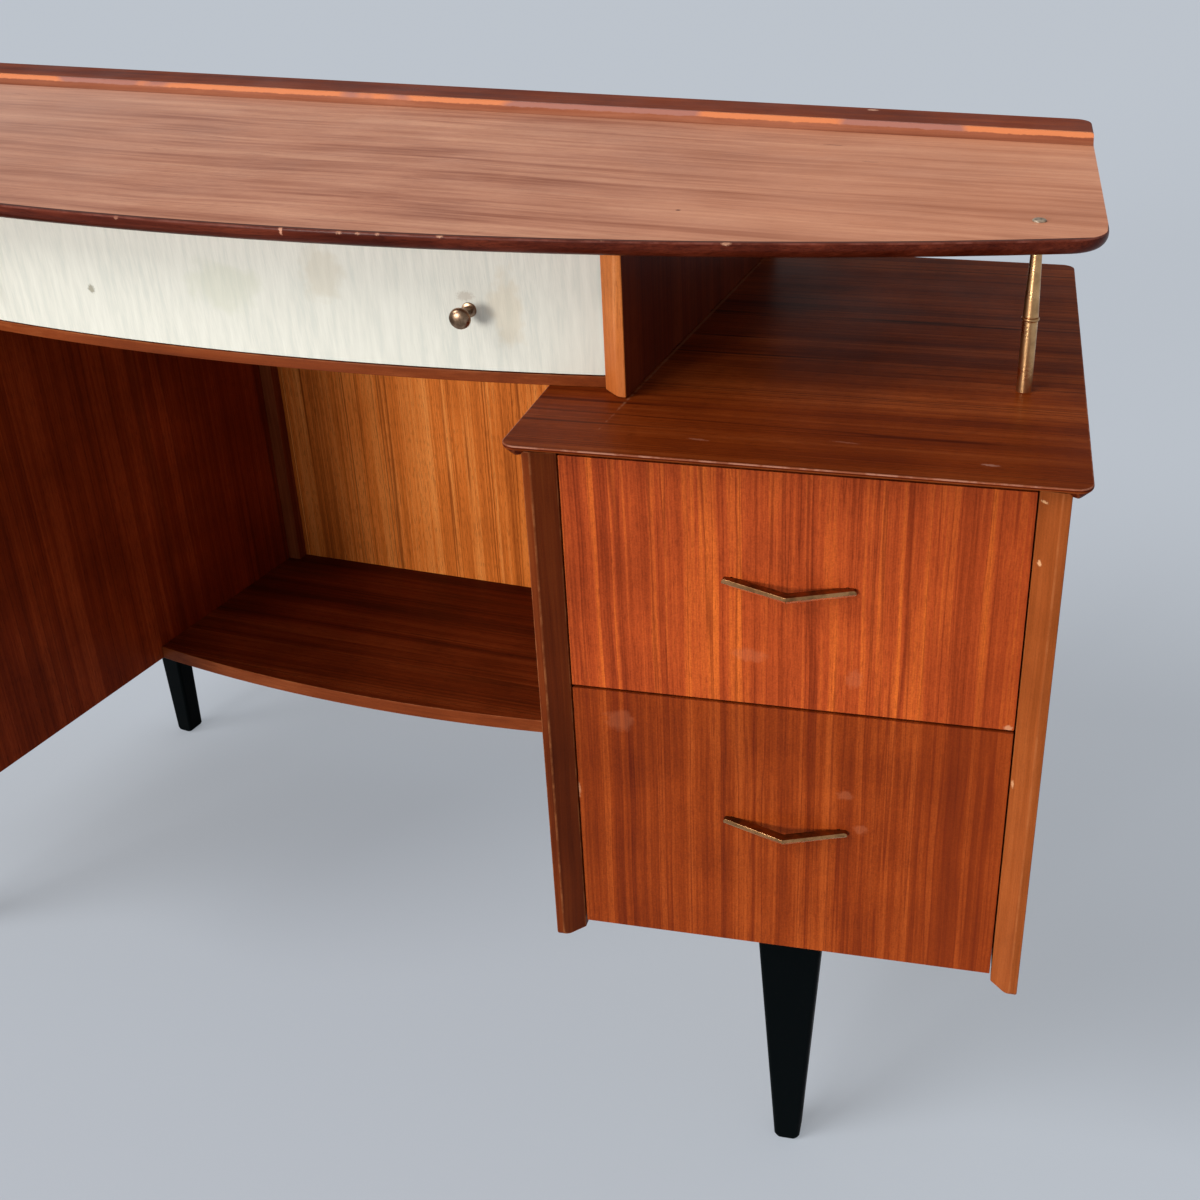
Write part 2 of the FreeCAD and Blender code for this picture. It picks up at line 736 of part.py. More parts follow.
legs = {"front": [], "back": []}
plates = []
widths = {"front": S.LegFrontTopWidth, "back": S.LegBackTopWidth}
for side, frame in PEDESTALS.items():
    for row, leg_y in leg_spots.items():
        name = side.title() + row.title()
        legs[row].append(tapered_leg(name + "Leg", frame, leg_y, widths[row]))
        plates.append(board(name + "Plate", frame, (-S.PlateLength / 2, S.PlateLength / 2),
                            (leg_y - S.PlateWidth / 2, leg_y + S.PlateWidth / 2), (leg_top, bottom_z)))
keep(group("FrontLegs", legs["front"]), "front_legs")
keep(group("BackLegs", legs["back"]), "back_legs")
keep(group("LegPlates", plates), "leg_plates")


# Pedestal drawers: lipped front, grooved sides, back, loose bottom and a V-shaped pull
pull_stud_x = S.PullHalf - S.PullStudInset
stud_z = S.PullRise


def pull(name, frame, z):
    """A bowed V pull: the front view padded, then cut to the bow seen from above."""
    body = new_body(name, frame, z=z)
    tip = S.PullTipHeight / 2
    dip = S.PullRise + S.PullDip
    reach = S.PullReach
    front_view = outline(body, name + "Front", "XZ_Plane", [
        (-S.PullHalf, S.PullRise - tip), (-S.PullHalf, S.PullRise + tip),
        (ZERO, S.PullRise - S.PullDip + tip), (S.PullHalf, S.PullRise + tip),
        (S.PullHalf, S.PullRise - tip), (ZERO, S.PullRise - S.PullDip - S.PullMidHeight + tip)])
    pad(body, front_view, reach)
    shoulder = S.PullHalf - S.PullPad
    plan_front = outline(body, name + "PlanFront", "XY_Plane", [
        (-S.PullHalf, -S.PullTipThick), (ZERO, -reach), (S.PullHalf, -S.PullTipThick),
        (S.PullHalf, -reach * 2), (-S.PullHalf, -reach * 2)])
    pocket(body, plan_front, dip * 4, both_ways=True)
    plan_back = outline(body, name + "PlanBack", "XY_Plane", [
        (-shoulder, ZERO), (ZERO, S.PullMidThick - reach), (shoulder, ZERO)])
    pocket(body, plan_back, dip * 4, both_ways=True)
    dress(body, "Fillet", S.PullTipRound, lambda edge: close(edge.BoundBox.ZLength, 0)
          and close(edge.BoundBox.XLength, 0) and close(abs(edge.BoundBox.XMax), S.PullHalf.value))
    spots = [(pull_stud_x, stud_z), (-pull_stud_x, stud_z)]
    studs = circles(body, name + "Studs", "XZ_Plane", spots, S.PullStudRadius)
    pad(body, studs, S.PullStudLength, reversed_way=True)
    return body


def pedestal_drawer(side, level, frame, span, box_z):
    """One drawer of a pedestal, between two heights."""
    title = side.title() + level.title()
    prefix = f"{side}_{level}_drawer"
    pull_z = (span[0] + span[1]) / 2
    front = new_body(title + "Front", frame)
    half = S.DrawerWidth / 2
    sketch = outline(front, title + "FrontFace", "XZ_Plane", [
        (half, span[0]), (half, span[1]), (-half, span[1]), (-half, span[0])])
    pad(front, sketch, S.DrawerThick, reversed_way=True)
    side_outer = ped_inner - S.BoxGap
    side_inner = side_outer - S.BoxThick
    floor_low = box_z + S.FloorRise
    floor_high = floor_low + S.FloorThick
    floor_half = side_inner + S.GrooveDepth
    groove = outline(front, title + "FrontGroove", "XZ_Plane", [
        (floor_half, floor_low), (floor_half, floor_high),
        (-floor_half, floor_high), (-floor_half, floor_low)], lift=-S.DrawerThick)
    pocket(front, groove, S.GrooveDepth, reversed_way=True)
    holes = circles(front, title + "StudHoles", "XZ_Plane", [
        (pull_stud_x, pull_z + stud_z), (-pull_stud_x, pull_z + stud_z)], S.PullStudRadius + S.StudClear)
    pocket(front, holes, S.PullStudLength + S.StudClear)
    keep(front, prefix + "_front")

    box_top = span[1] - S.BoxTopDrop
    sides = []
    for way in (1, -1):
        name = title + "BoxSide" + ("Right" if way > 0 else "Left")
        body = new_body(name, frame, y=S.DrawerThick)
        sketch = outline(body, name + "Section", "XZ_Plane", [
            (side_outer * way, box_z), (side_outer * way, box_top), (side_inner * way, box_top),
            (side_inner * way, floor_high), (floor_half * way, floor_high), (floor_half * way, floor_low),
            (side_inner * way, floor_low), (side_inner * way, box_z)])
        pad(body, sketch, box_depth, reversed_way=True)
        sides.append(body)
    keep(group(title + "BoxSides", sides), prefix + "_sides")
    box_end = S.DrawerThick + box_depth
    keep(board(title + "BoxBack", frame, (-side_inner, side_inner), (box_end - S.BoxThick, box_end),
               (floor_high, box_top - S.BoxBackDrop)), prefix + "_back")
    keep(board(title + "BoxFloor", frame, (-floor_half, floor_half),
               (S.DrawerThick - S.GrooveDepth, box_end), (floor_low, floor_high)), prefix + "_bottom")
    keep(pull(title + "Pull", frame, pull_z), prefix + "_pull")


for side, frame in PEDESTALS.items():
    pedestal_drawer(side, "upper", frame, (upper_low, upper_high), upper_box_z)
    pedestal_drawer(side, "lower", frame, (lower_low, lower_high), lower_box_z)


# Centre drawer: bowed front with a vinyl facing and two mushroom knobs
centre_half = case_inner - S.CentreGap
knob_x = case_inner - S.KnobInset
knob_z = ped_top_z + S.KnobRise
centre_low = case_floor + S.CentreGap
centre_high = top_bottom - S.CentreTopGap
facing_back = Bow(ZERO, bow_y, case_bow.radius - S.FacingThick)
front_back = Bow(ZERO, bow_y, facing_back.radius - S.CentreFrontThick)
knob_turn = arcsine(knob_x / case_bow.radius)
centre_height = centre_high - centre_low
facing = bow_strip("CentreFacing", case_bow, facing_back, centre_half, centre_low, centre_height)
centre_front = bow_strip("CentreFront", facing_back, front_back, centre_half, centre_low, centre_height)
for body in (facing, centre_front):
    for way in (1, -1):
        name = body.Name + ("KnobHoleRight" if way > 0 else "KnobHoleLeft")
        hole = body.newObject("PartDesign::SubtractiveCylinder", name)
        hole.setExpression("Radius", (S.KnobStudRadius + S.StudClear).text)
        hole.setExpression("Height", (S.KnobStudLength + S.StudClear + S.FacingThick).text)
        start = case_bow.radius + S.FacingThick
        spot_x = start * knob_x / case_bow.radius * way
        spot_y = bow_y - start * cosine(knob_turn)
        spot = f"vector({spot_x.text}; {spot_y.text}; {(knob_z - centre_low).text})"
        turn = f"rotation(vector(0; 0; 1); {(knob_turn * way).text}) * rotation(vector(1; 0; 0); -90)"
        hole.setExpression("Placement", f"placement({spot}; {turn})")
        body.Tip = hole
doc.recompute()
keep(facing, "centre_drawer_facing")
keep(centre_front, "centre_drawer_front")

centre_box_z = case_floor + S.RunGap
centre_box_top = centre_high - S.CentreBoxDrop
centre_outer = case_inner - S.BoxGap
centre_inner = centre_outer - S.BoxThick
centre_floor_half = centre_inner + S.GrooveDepth
centre_floor_low = centre_box_z + S.FloorRise
centre_floor_high = centre_floor_low + S.FloorThick
centre_end = case_back - S.CaseBackThick - S.CentreBackGap
centre_sides = []
for way in (1, -1):
    name = "CentreBoxSide" + ("Right" if way > 0 else "Left")
    body = new_body(name, z=centre_box_z)
    sketch = outline(body, name + "Outline", "XY_Plane", [
        (centre_outer * way, front_back), (centre_inner * way, front_back),
        (centre_inner * way, centre_end), (centre_outer * way, centre_end)])
    pad(body, sketch, centre_box_top - centre_box_z)
    groove = outline(body, name + "Groove", "XY_Plane", [
        (centre_floor_half * way, front_back), (centre_inner * way, front_back),
        (centre_inner * way, centre_end), (centre_floor_half * way, centre_end)], lift=S.FloorRise)
    pocket(body, groove, S.FloorThick, reversed_way=True)
    centre_sides.append(body)
keep(group("CentreBoxSides", centre_sides), "centre_drawer_sides")
keep(board("CentreBoxBack", DESK, (-centre_inner, centre_inner), (centre_end - S.BoxThick, centre_end),
           (centre_floor_high, centre_box_top - S.BoxBackDrop)), "centre_drawer_back")
centre_floor = new_body("CentreBoxFloor", z=centre_floor_low)
centre_floor_sketch = outline(centre_floor, "CentreFloorOutline", "XY_Plane", [
    (centre_floor_half, centre_end), (centre_floor_half, front_back),
    (-centre_floor_half, front_back), (-centre_floor_half, centre_end)])
pad(centre_floor, centre_floor_sketch, S.FloorThick)
keep(centre_floor, "centre_drawer_bottom")

knobs = []
for side, way in (("Right", 1), ("Left", -1)):
    turn = knob_turn * way
    knob_y = bow_y - case_bow.radius * cosine(knob_turn)
    knob = new_body("Knob" + side, DESK, knob_x * way, knob_y, knob_z, turn)
    head_low = S.KnobLength - S.KnobHeadThick
    rim_low = head_low + S.KnobHeadThick / 3
    rim_high = S.KnobLength - S.KnobHeadDome
    sketch = outline(knob, "KnobProfile" + side, "XY_Plane", [
        (ZERO, S.KnobStudLength), (S.KnobStudRadius, S.KnobStudLength), (S.KnobStudRadius, ZERO),
        (S.KnobPlateRadius, ZERO), (S.KnobNeckRadius, -S.KnobPlateThick),
        (S.KnobNeckRadius, -head_low), (S.KnobHeadRadius, -rim_low),
        (S.KnobHeadRadius, -rim_high), (S.KnobHeadRadius / 2, -S.KnobLength), (ZERO, -S.KnobLength)])
    revolve(knob, sketch)
    knobs.append(knob)
keep(group("Knobs", knobs), "centre_drawer_knobs")


# Checks and files
doc.recompute()
for item in doc.Objects:
    if "Invalid" in item.State or "Error" in item.State:
        raise ValueError(f"{item.Name}: {item.State}")
os.makedirs("parts", exist_ok=True)
for item in nodes:
    shape = item.Shape
    if shape.isNull() or not shape.isValid() or not shape.Solids:
        raise ValueError(f"{item.Label}: no valid solid")
    shape.exportStep(os.path.join("parts", item.Label + ".step"))
    box = shape.BoundBox
    print(f"{item.Label}: {len(shape.Solids)} solids, x {box.XMin:.1f}..{box.XMax:.1f}, "
          f"y {box.YMin:.1f}..{box.YMax:.1f}, z {box.ZMin:.1f}..{box.ZMax:.1f}")
whole = Part.makeCompound([item.Shape for item in nodes]).BoundBox
print(f"{len(nodes)} nodes, whole {whole.XLength:.2f} x {whole.YLength:.2f} x {whole.ZLength:.2f}, "
      f"centre y {whole.Center.y:.2f}")
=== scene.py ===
"""Dressing table desk: finishes, small fittings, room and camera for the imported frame."""

import json
import logging
import math
from collections.abc import Callable, Iterator
from contextlib import contextmanager
from dataclasses import dataclass, replace
from enum import Enum
from functools import cached_property

import bpy
from mathutils import Matrix, Vector


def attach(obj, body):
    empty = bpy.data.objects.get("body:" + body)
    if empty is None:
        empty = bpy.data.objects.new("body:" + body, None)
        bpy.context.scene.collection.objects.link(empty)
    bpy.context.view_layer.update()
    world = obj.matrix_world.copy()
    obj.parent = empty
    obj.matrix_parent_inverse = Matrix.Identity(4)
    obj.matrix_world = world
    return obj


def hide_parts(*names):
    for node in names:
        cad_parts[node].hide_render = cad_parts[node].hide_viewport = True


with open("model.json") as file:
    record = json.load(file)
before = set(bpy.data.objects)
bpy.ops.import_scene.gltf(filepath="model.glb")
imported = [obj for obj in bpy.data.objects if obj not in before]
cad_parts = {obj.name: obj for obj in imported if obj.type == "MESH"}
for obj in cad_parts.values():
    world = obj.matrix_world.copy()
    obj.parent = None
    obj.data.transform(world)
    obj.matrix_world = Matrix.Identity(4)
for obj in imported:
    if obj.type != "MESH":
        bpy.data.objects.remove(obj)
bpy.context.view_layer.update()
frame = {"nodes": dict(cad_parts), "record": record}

log = logging.getLogger("dressing_table_desk")
logging.basicConfig(level=logging.INFO, format="%(message)s")

Material = bpy.types.Material
Piece = bpy.types.Object
Socket = bpy.types.NodeSocket
Value = Socket | float | str | tuple[float, ...] | list[float]
Test = Callable[[Vector, Vector], bool]

MM = 0.001
# The pedestals' turn in degrees, and the middle of the right one's drawer faces
TURN = 5.5
PEDESTAL_X = 436.9
PEDESTAL_Y = -207.275
# Edges sharper than SHARP degrees are eased, and curves shade smoothly up to SMOOTH degrees
SHARP = 28.0
SMOOTH = 32.0
# Vertices nearer than MERGE_MM are one, and faces within FLAT degrees of each other are one
MERGE_MM = 0.01
FLAT = 0.4
# Limits of a normal's parts that tell where a face looks; eased edges that look down keep their stain
LOOKS_DOWN = -0.2
LOOKS_UP = 0.6
LOOKS_FORWARD = -0.3
LACQUER_IOR = 1.5
# Cells per metre of the slower noises, and of the finest one
WANDER, CLOUDS, PATCHES, POLISH = 3.4, 9.0, 15.0, 18.0
PAINT_CLOUDS, RUBBED, JAGGED, SPECKLE = 40.0, 55.0, 70.0, 900.0
# The Y of the middle of the top's bow, which the drawer front shares
BOW_Y = 1367.425
# The back rail's front arris
ARRIS_Y = 187.4
ARRIS_Z = 758.0


class Grain(Enum):
    """The axis that the wood's fibres run along."""

    ALONG = 0
    DEEP = 1
    UP = 2


class Side(Enum):
    """The two pedestals, with the sign of their place along X."""

    RIGHT = 1
    LEFT = -1

    @property
    def word(self) -> str:
        """The side's name in lower case."""
        return self.name.lower()

    @property
    def turn(self) -> float:
        """The pedestal's turn in degrees, counter-clockwise from above."""
        return TURN * self.value

    @property
    def along(self) -> Vector:
        """The direction of the pedestal's width."""
        return Vector((math.cos(math.radians(self.turn)), math.sin(math.radians(self.turn)), 0))

    @property
    def back(self) -> Vector:
        """The direction from the drawer faces to the back."""
        return Vector((-math.sin(math.radians(self.turn)), math.cos(math.radians(self.turn)), 0))

    @property
    def middle(self) -> Vector:
        """The middle of the drawer faces in millimetres, at the floor."""
        return Vector((PEDESTAL_X * self.value, PEDESTAL_Y, 0))

    def across_of(self, place: Vector) -> float:
        """Gives how far a place lies along the width from the middle, in millimetres."""
        return (place - self.middle).dot(self.along)

    def out_of(self, place: Vector) -> float:
        """Gives how far a place lies behind the drawer faces, in millimetres."""
        return (place - self.middle).dot(self.back)

    def place(self, across: float, out: float, z: float) -> Vector:
        """Gives the desk's coordinates of a place on the turned pedestal, in millimetres."""
        return self.middle + self.along * across + self.back * out + Vector((0, 0, z))


def colour(code: str) -> tuple[float, float, float, float]:
    """Turns an sRGB hex colour to linear.

    Args:
        code: Six hex digits, with or without a leading #.

    Returns:
        Linear red, green and blue, and an alpha of 1.
    """
    digits = code.lstrip("#")
    parts = [int(digits[n:n + 2], 16) / 255 for n in (0, 2, 4)]
    linear = [p / 12.92 if p <= 0.04045 else ((p + 0.055) / 1.055) ** 2.4 for p in parts]
    return (*linear, 1.0)


class Graph:
    """The nodes of a finish, with short ways to add the kinds that finishes need."""

    def __init__(self, tree: bpy.types.NodeTree) -> None:
        """Empties a node tree and keeps it."""
        self.tree = tree
        tree.nodes.clear()

    def add(self, kind: str, inputs: dict[int | str, Value] | None = None, **settings: str) -> bpy.types.Node:
        """Adds a node with its settings and links.

        Args:
            kind: The node's type name without ShaderNode.
            inputs: Socket name or number to a constant, a hex colour or another node's output socket.
            settings: Values of the node's own properties.

        Returns:
            The new node.
        """
        node = self.tree.nodes.new(f"ShaderNode{kind}")
        for name, value in settings.items():
            setattr(node, name, value)
        for name, value in (inputs or {}).items():
            if isinstance(value, Socket):
                self.tree.links.new(value, node.inputs[name])
            else:
                node.inputs[name].default_value = colour(value) if isinstance(value, str) else value
        return node

    @cached_property
    def place(self) -> Socket:
        """Object coordinates, which stay with the piece."""
        return self.add("TexCoord").outputs["Object"]

    def math(self, operation: str, *values: Value) -> Socket:
        """Calculates with one to three numbers."""
        return self.add("Math", dict(enumerate(values)), operation=operation).outputs[0]

    def vector(self, operation: str, *values: Value, output: int = 0) -> Socket:
        """Calculates with vectors; output 1 is the result that is a number."""
        return self.add("VectorMath", dict(enumerate(values)), operation=operation).outputs[output]

    def part(self, place: Socket, axis: Grain) -> Socket:
        """Takes one coordinate of a place."""
        return self.add("SeparateXYZ", {0: place}).outputs[axis.value]

    def mapped(self, place: Socket, kind: str = "POINT", **inputs: Value) -> Socket:
        """Turns, scales and moves coordinates."""
        return self.add("Mapping", {"Vector": place, **inputs}, vector_type=kind).outputs[0]

    def noise(self, place: Socket, scale: float, detail: float, roughness: float = 0.5, output: int = 0) -> Socket:
        """Adds noise; output 1 is its colour."""
        inputs = {"Vector": place, "Scale": scale, "Detail": detail, "Roughness": roughness}
        return self.add("TexNoise", inputs).outputs[output]

    def span(self, value: Socket, start: float, end: float, low: float = 0.0, high: float = 1.0,
             kind: str = "LINEAR") -> Socket:
        """Maps one span of numbers to another, and holds it at both ends."""
        inputs = {"Value": value, "From Min": start, "From Max": end, "To Min": low, "To Max": high}
        return self.add("MapRange", inputs, interpolation_type=kind).outputs[0]

    def mix(self, share: Socket, below: Value, above: Value) -> Socket:
        """Blends two colours."""
        return self.add("Mix", {0: share, 6: below, 7: above}, data_type="RGBA").outputs[2]

    def ramp(self, factor: Socket, *stops: tuple[float, str]) -> Socket:
        """Turns a number to a colour through evenly blended stops.

        Args:
            factor: The number.
            stops: Position and hex colour of each stop.

        Returns:
            The colour.
        """
        node = self.add("ValToRGB", {0: factor})
        elements = node.color_ramp.elements
        while len(elements) < len(stops):
            elements.new(0.5)
        for element, (position, code) in zip(elements, stops):
            element.position = position
            element.color = colour(code)
        return node.outputs[0]

    def surface(self, base: Socket, roughness: Value, relief: tuple[float, float, Socket], **inputs: Value) -> None:
        """Adds the shader with its relief, and the output.

        Args:
            base: The colour.
            roughness: The roughness.
            relief: Strength, depth in millimetres and height of the relief.
            inputs: More of the shader's sockets, with _ for a space.
        """
        strength, deep, height = relief
        bump = self.add("Bump", {"Strength": strength, "Distance": deep * MM, "Height": height})
        sockets = {"Base Color": base, "Roughness": roughness, "Normal": bump.outputs[0]}
        sockets.update({name.replace("_", " "): value for name, value in inputs.items()})
        self.add("OutputMaterial", {0: self.add("BsdfPrincipled", sockets).outputs[0]})


def new_material(name: str) -> tuple[Material, Graph]:
    """Makes an empty node material.

    Args:
        name: The material's name.

    Returns:
        The material and its nodes.
    """
    material = bpy.data.materials.new(name)
    material.use_nodes = True
    return material, Graph(material.node_tree)


@dataclass(frozen=True)
class Mark:
    """A chip, scuff or stain: an uneven spot at a place on the piece, in millimetres."""

    x: float
    y: float
    z: float
    wide: float
    deep: float
    tall: float
    code: str
    strength: float = 1.0
    rough_mm: float = 2.0

    def over(self, graph: Graph, base: Value) -> Socket:
        """Lays the mark over a colour.

        Args:
            graph: The finish's nodes.
            base: The colour below.

        Returns:
            The colour with the mark.
        """
        ragged, outside, inside = 1.4, 1.85, 1.35
        local = graph.mapped(graph.place, "TEXTURE", Location=(self.x * MM, self.y * MM, self.z * MM),
                             Scale=(self.wide * MM, self.deep * MM, self.tall * MM))
        uneven = graph.noise(graph.place, 1000 / self.rough_mm, 3.0)
        away = graph.math("MULTIPLY_ADD", uneven, ragged, graph.vector("LENGTH", local, output=1))
        return graph.mix(graph.span(away, outside, inside, 0.0, self.strength), base, self.code)


@dataclass(frozen=True)
class Fade:
    """A slow change of colour along one axis of a long board; the one towards the top's left paints its sheen."""

    axis: Grain
    start_mm: float
    end_mm: float
    code: str
    strength: float

    def over(self, graph: Graph, base: Value) -> Socket:
        """Lays the fade over a colour.

        Args:
            graph: The finish's nodes.
            base: The colour below.

        Returns:
            The faded colour.
        """
        drift_mm = 80
        start, end = ((limit + drift_mm / 2) * MM for limit in (self.start_mm, self.end_mm))
        cloud = graph.noise(graph.place, CLOUDS, 2.0)
        moved = graph.math("MULTIPLY_ADD", cloud, drift_mm * MM, graph.part(graph.place, self.axis))
        return graph.mix(graph.span(moved, start, end, 0.0, self.strength, "SMOOTHSTEP"), base, self.code)


@dataclass(frozen=True)
class WornArris:
    """A straight arris whose stain has rubbed through in a ragged band, orange where the wood shows."""

    y: float
    z: float
    reach_mm: float
    ragged_mm: float
    raw: str
    scuffed: str

    def over(self, graph: Graph, base: Value) -> Socket:
        """Lays the worn band over a colour.

        Args:
            graph: The finish's nodes.
            base: The colour below.

        Returns:
            The colour with the worn band.
        """
        section = graph.vector("MULTIPLY", graph.place, (0, 1, 1))
        away = graph.vector("DISTANCE", section, (0, self.y * MM, self.z * MM), output=1)
        jagged = graph.noise(graph.place, JAGGED, 5.0, 0.75)
        edge = graph.math("MULTIPLY_ADD", jagged, -2 * self.ragged_mm * MM, away)
        limit = self.reach_mm - self.ragged_mm
        share = graph.span(edge, (limit + 0.5) * MM, (limit - 0.3) * MM)
        rubbed_through = graph.span(graph.noise(graph.place, CLOUDS, 3.0), 0.47, 0.51)
        return graph.mix(share, base, graph.mix(rubbed_through, self.raw, self.scuffed))


@dataclass(frozen=True)
class BowedMargin:
    """The lipping's top seen round a bowed veneer: a thin dark joint and a stained strip outside it."""

    middle_y: float
    joint_radius: float
    joint_mm: float
    joint: str
    strip: str

    def over(self, graph: Graph, base: Value) -> Socket:
        """Lays the joint and the strip over a colour.

        Args:
            graph: The finish's nodes.
            base: The colour below.

        Returns:
            The colour with the margin.
        """
        soft_mm = 0.2
        plan = graph.vector("MULTIPLY", graph.place, (1, 1, 0))
        away = graph.vector("DISTANCE", plan, (0, self.middle_y * MM, 0), output=1)
        for start_mm, code in ((-self.joint_mm / 2, self.joint), (self.joint_mm / 2, self.strip)):
            limit = self.joint_radius + start_mm
            base = graph.mix(graph.span(away, (limit - soft_mm) * MM, (limit + soft_mm) * MM), base, code)
        return base


@dataclass(frozen=True)
class Wood:
    """Figured wood under old satin lacquer: ribbons and streaks along the grain, fine dark lines and pores."""

    name: str
    slot: str
    dark: str
    mid: str
    light: str
    line: str
    grain: Grain
    across: Grain
    turn: float = 0.0
    ribbon_mm: float = 12.0
    ribbon: float = 0.3
    band_mm: float = 34.0
    band: float = 0.35
    streak_mm: float = 5.0
    streak: float = 0.25
    thread_mm: float = 1.3
    thread: float = 0.2
    patches: float = 0.4
    run: float = 40.0
    line_strength: float = 0.5
    pore_strength: float = 0.35
    mottle: float = 0.1
    speckle: float = 0.06
    wander_mm: float = 7.0
    roughness: float = 0.38
    gloss: float = 0.2
    bump: float = 0.1
    seed: float = 0.0
    worn: str = "#B0714B"
    wear: float = 0.5
    layers: tuple[Fade | WornArris | BowedMargin | Mark, ...] = ()

    def streaks(self, graph: Graph, place: Socket, width_mm: float, run: float, detail: float) -> Socket:
        """Adds noise that is drawn out along the grain.

        Args:
            graph: The finish's nodes.
            place: The turned coordinates.
            width_mm: The streaks' width across the grain.
            run: How many widths a streak is long.
            detail: The noise's detail.

        Returns:
            The noise.
        """
        scale = [1000 / width_mm] * 3
        scale[self.grain.value] /= run
        shifted = (self.seed, self.seed * 0.7, self.seed * 1.3)
        return graph.noise(graph.mapped(place, Location=shifted, Scale=scale), 1.0, detail, 0.55)

    def ribbons(self, graph: Graph, place: Socket) -> Socket:
        """Adds stripes of uneven width, crisp on one side and soft on the other.

        Args:
            graph: The finish's nodes.
            place: The turned and wandering coordinates.

        Returns:
            The stripes' tone, from 0 to 1.
        """
        lean = 0.12
        spread = graph.math("MULTIPLY_ADD", graph.part(place, self.across), 1000 / self.ribbon_mm, self.seed * 3.1)
        cells = graph.add("TexVoronoi", {"W": spread, "Scale": 1.0, "Smoothness": 0.16, "Randomness": 1.0},
                          voronoi_dimensions="1D", feature="SMOOTH_F1")
        tones = graph.add("SeparateColor", {0: cells.outputs["Color"]})
        return graph.math("MULTIPLY_ADD", graph.math("FRACT", spread), lean, tones.outputs[0])

    def figure(self, graph: Graph) -> tuple[Socket, Socket]:
        """Draws the wood's figure.

        Args:
            graph: The finish's nodes.

        Returns:
            The colour and the height of the relief.
        """
        pore_mm, pore_run = 0.6, 14.0
        turned = graph.mapped(graph.place, Rotation=(0, 0, math.radians(-self.turn)))
        drift = graph.vector("SUBTRACT", graph.noise(turned, WANDER, 2.0, output=1), (0.5, 0.5, 0.5))
        wander = graph.vector("MULTIPLY_ADD", drift, [self.wander_mm * MM * 2] * 3, turned)
        threads = self.streaks(graph, wander, self.thread_mm, self.run * 2.5, 1.0)
        sources = ((self.ribbons(graph, wander), self.ribbon),
                   (self.streaks(graph, wander, self.band_mm, self.run * 0.6, 2.0), self.band * 2.6),
                   (self.streaks(graph, wander, self.streak_mm, self.run * 2, 2.0), self.streak * 2.6),
                   (threads, self.thread * 2.2))
        patch = graph.noise(wander, PATCHES, 3.0)
        tone = graph.span(patch, 0.0, 1.0, 0.5 - self.patches / 2, 0.5 + self.patches / 2)
        for value, share in sources:
            tone = graph.math("MULTIPLY_ADD", graph.math("SUBTRACT", value, 0.5), share, tone)
        shown = graph.ramp(tone, (0.12, self.dark), (0.5, self.mid), (0.88, self.light))
        # thin dark lines where a drawn-out noise crosses its middle value
        crossing = self.streaks(graph, wander, self.band_mm * 0.5, self.run * 3, 1.0)
        away = graph.math("ABSOLUTE", graph.math("SUBTRACT", crossing, 0.5))
        shown = graph.mix(graph.span(away, 0.02, 0.003, 0.0, self.line_strength), shown, self.line)
        pores = self.streaks(graph, wander, pore_mm, pore_run, 0.0)
        pores = graph.span(pores, 0.58, 0.7, 0.0, self.pore_strength)
        shown = graph.mix(pores, shown, self.line)
        # slow light and dark patches and a fine speckle over the figure
        speck = graph.noise(turned, SPECKLE, 1.0)
        shade, glint = (graph.span(value, 0.3, 0.7, 1.0 - swing, 1.0 + swing)
                        for value, swing in ((patch, self.mottle), (speck, self.speckle)))
        lit = graph.add("VectorMath", {0: shown, "Scale": graph.math("MULTIPLY", shade, glint)}, operation="SCALE")
        return lit.outputs[0], graph.math("SUBTRACT", threads, pores)

    def build(self, rubbed: bool = False) -> Material:
        """Makes the material.

        Args:
            rubbed: True for the eased edges, where the stain has rubbed away in places; on the lipping, their paler
                colour is a painted highlight.

        Returns:
            The wood's material.
        """
        material, graph = new_material(f"{self.name}_rubbed_edge" if rubbed else self.name)
        shown, height = self.figure(graph)
        for layer in self.layers:
            shown = layer.over(graph, shown)
        if rubbed:
            lengths = graph.noise(graph.place, RUBBED, 4.0, 0.7)
            shown = graph.mix(graph.span(lengths, 0.45, 0.6, self.wear * 0.25, self.wear), shown, self.worn)
        polish = graph.noise(graph.place, POLISH, 3.0)
        rough = graph.span(polish, 0.25, 0.75, self.roughness - 0.06, self.roughness + 0.08)
        graph.surface(shown, rough, (self.bump, 0.4, height), IOR=LACQUER_IOR, Specular_IOR_Level=self.gloss)
        return material


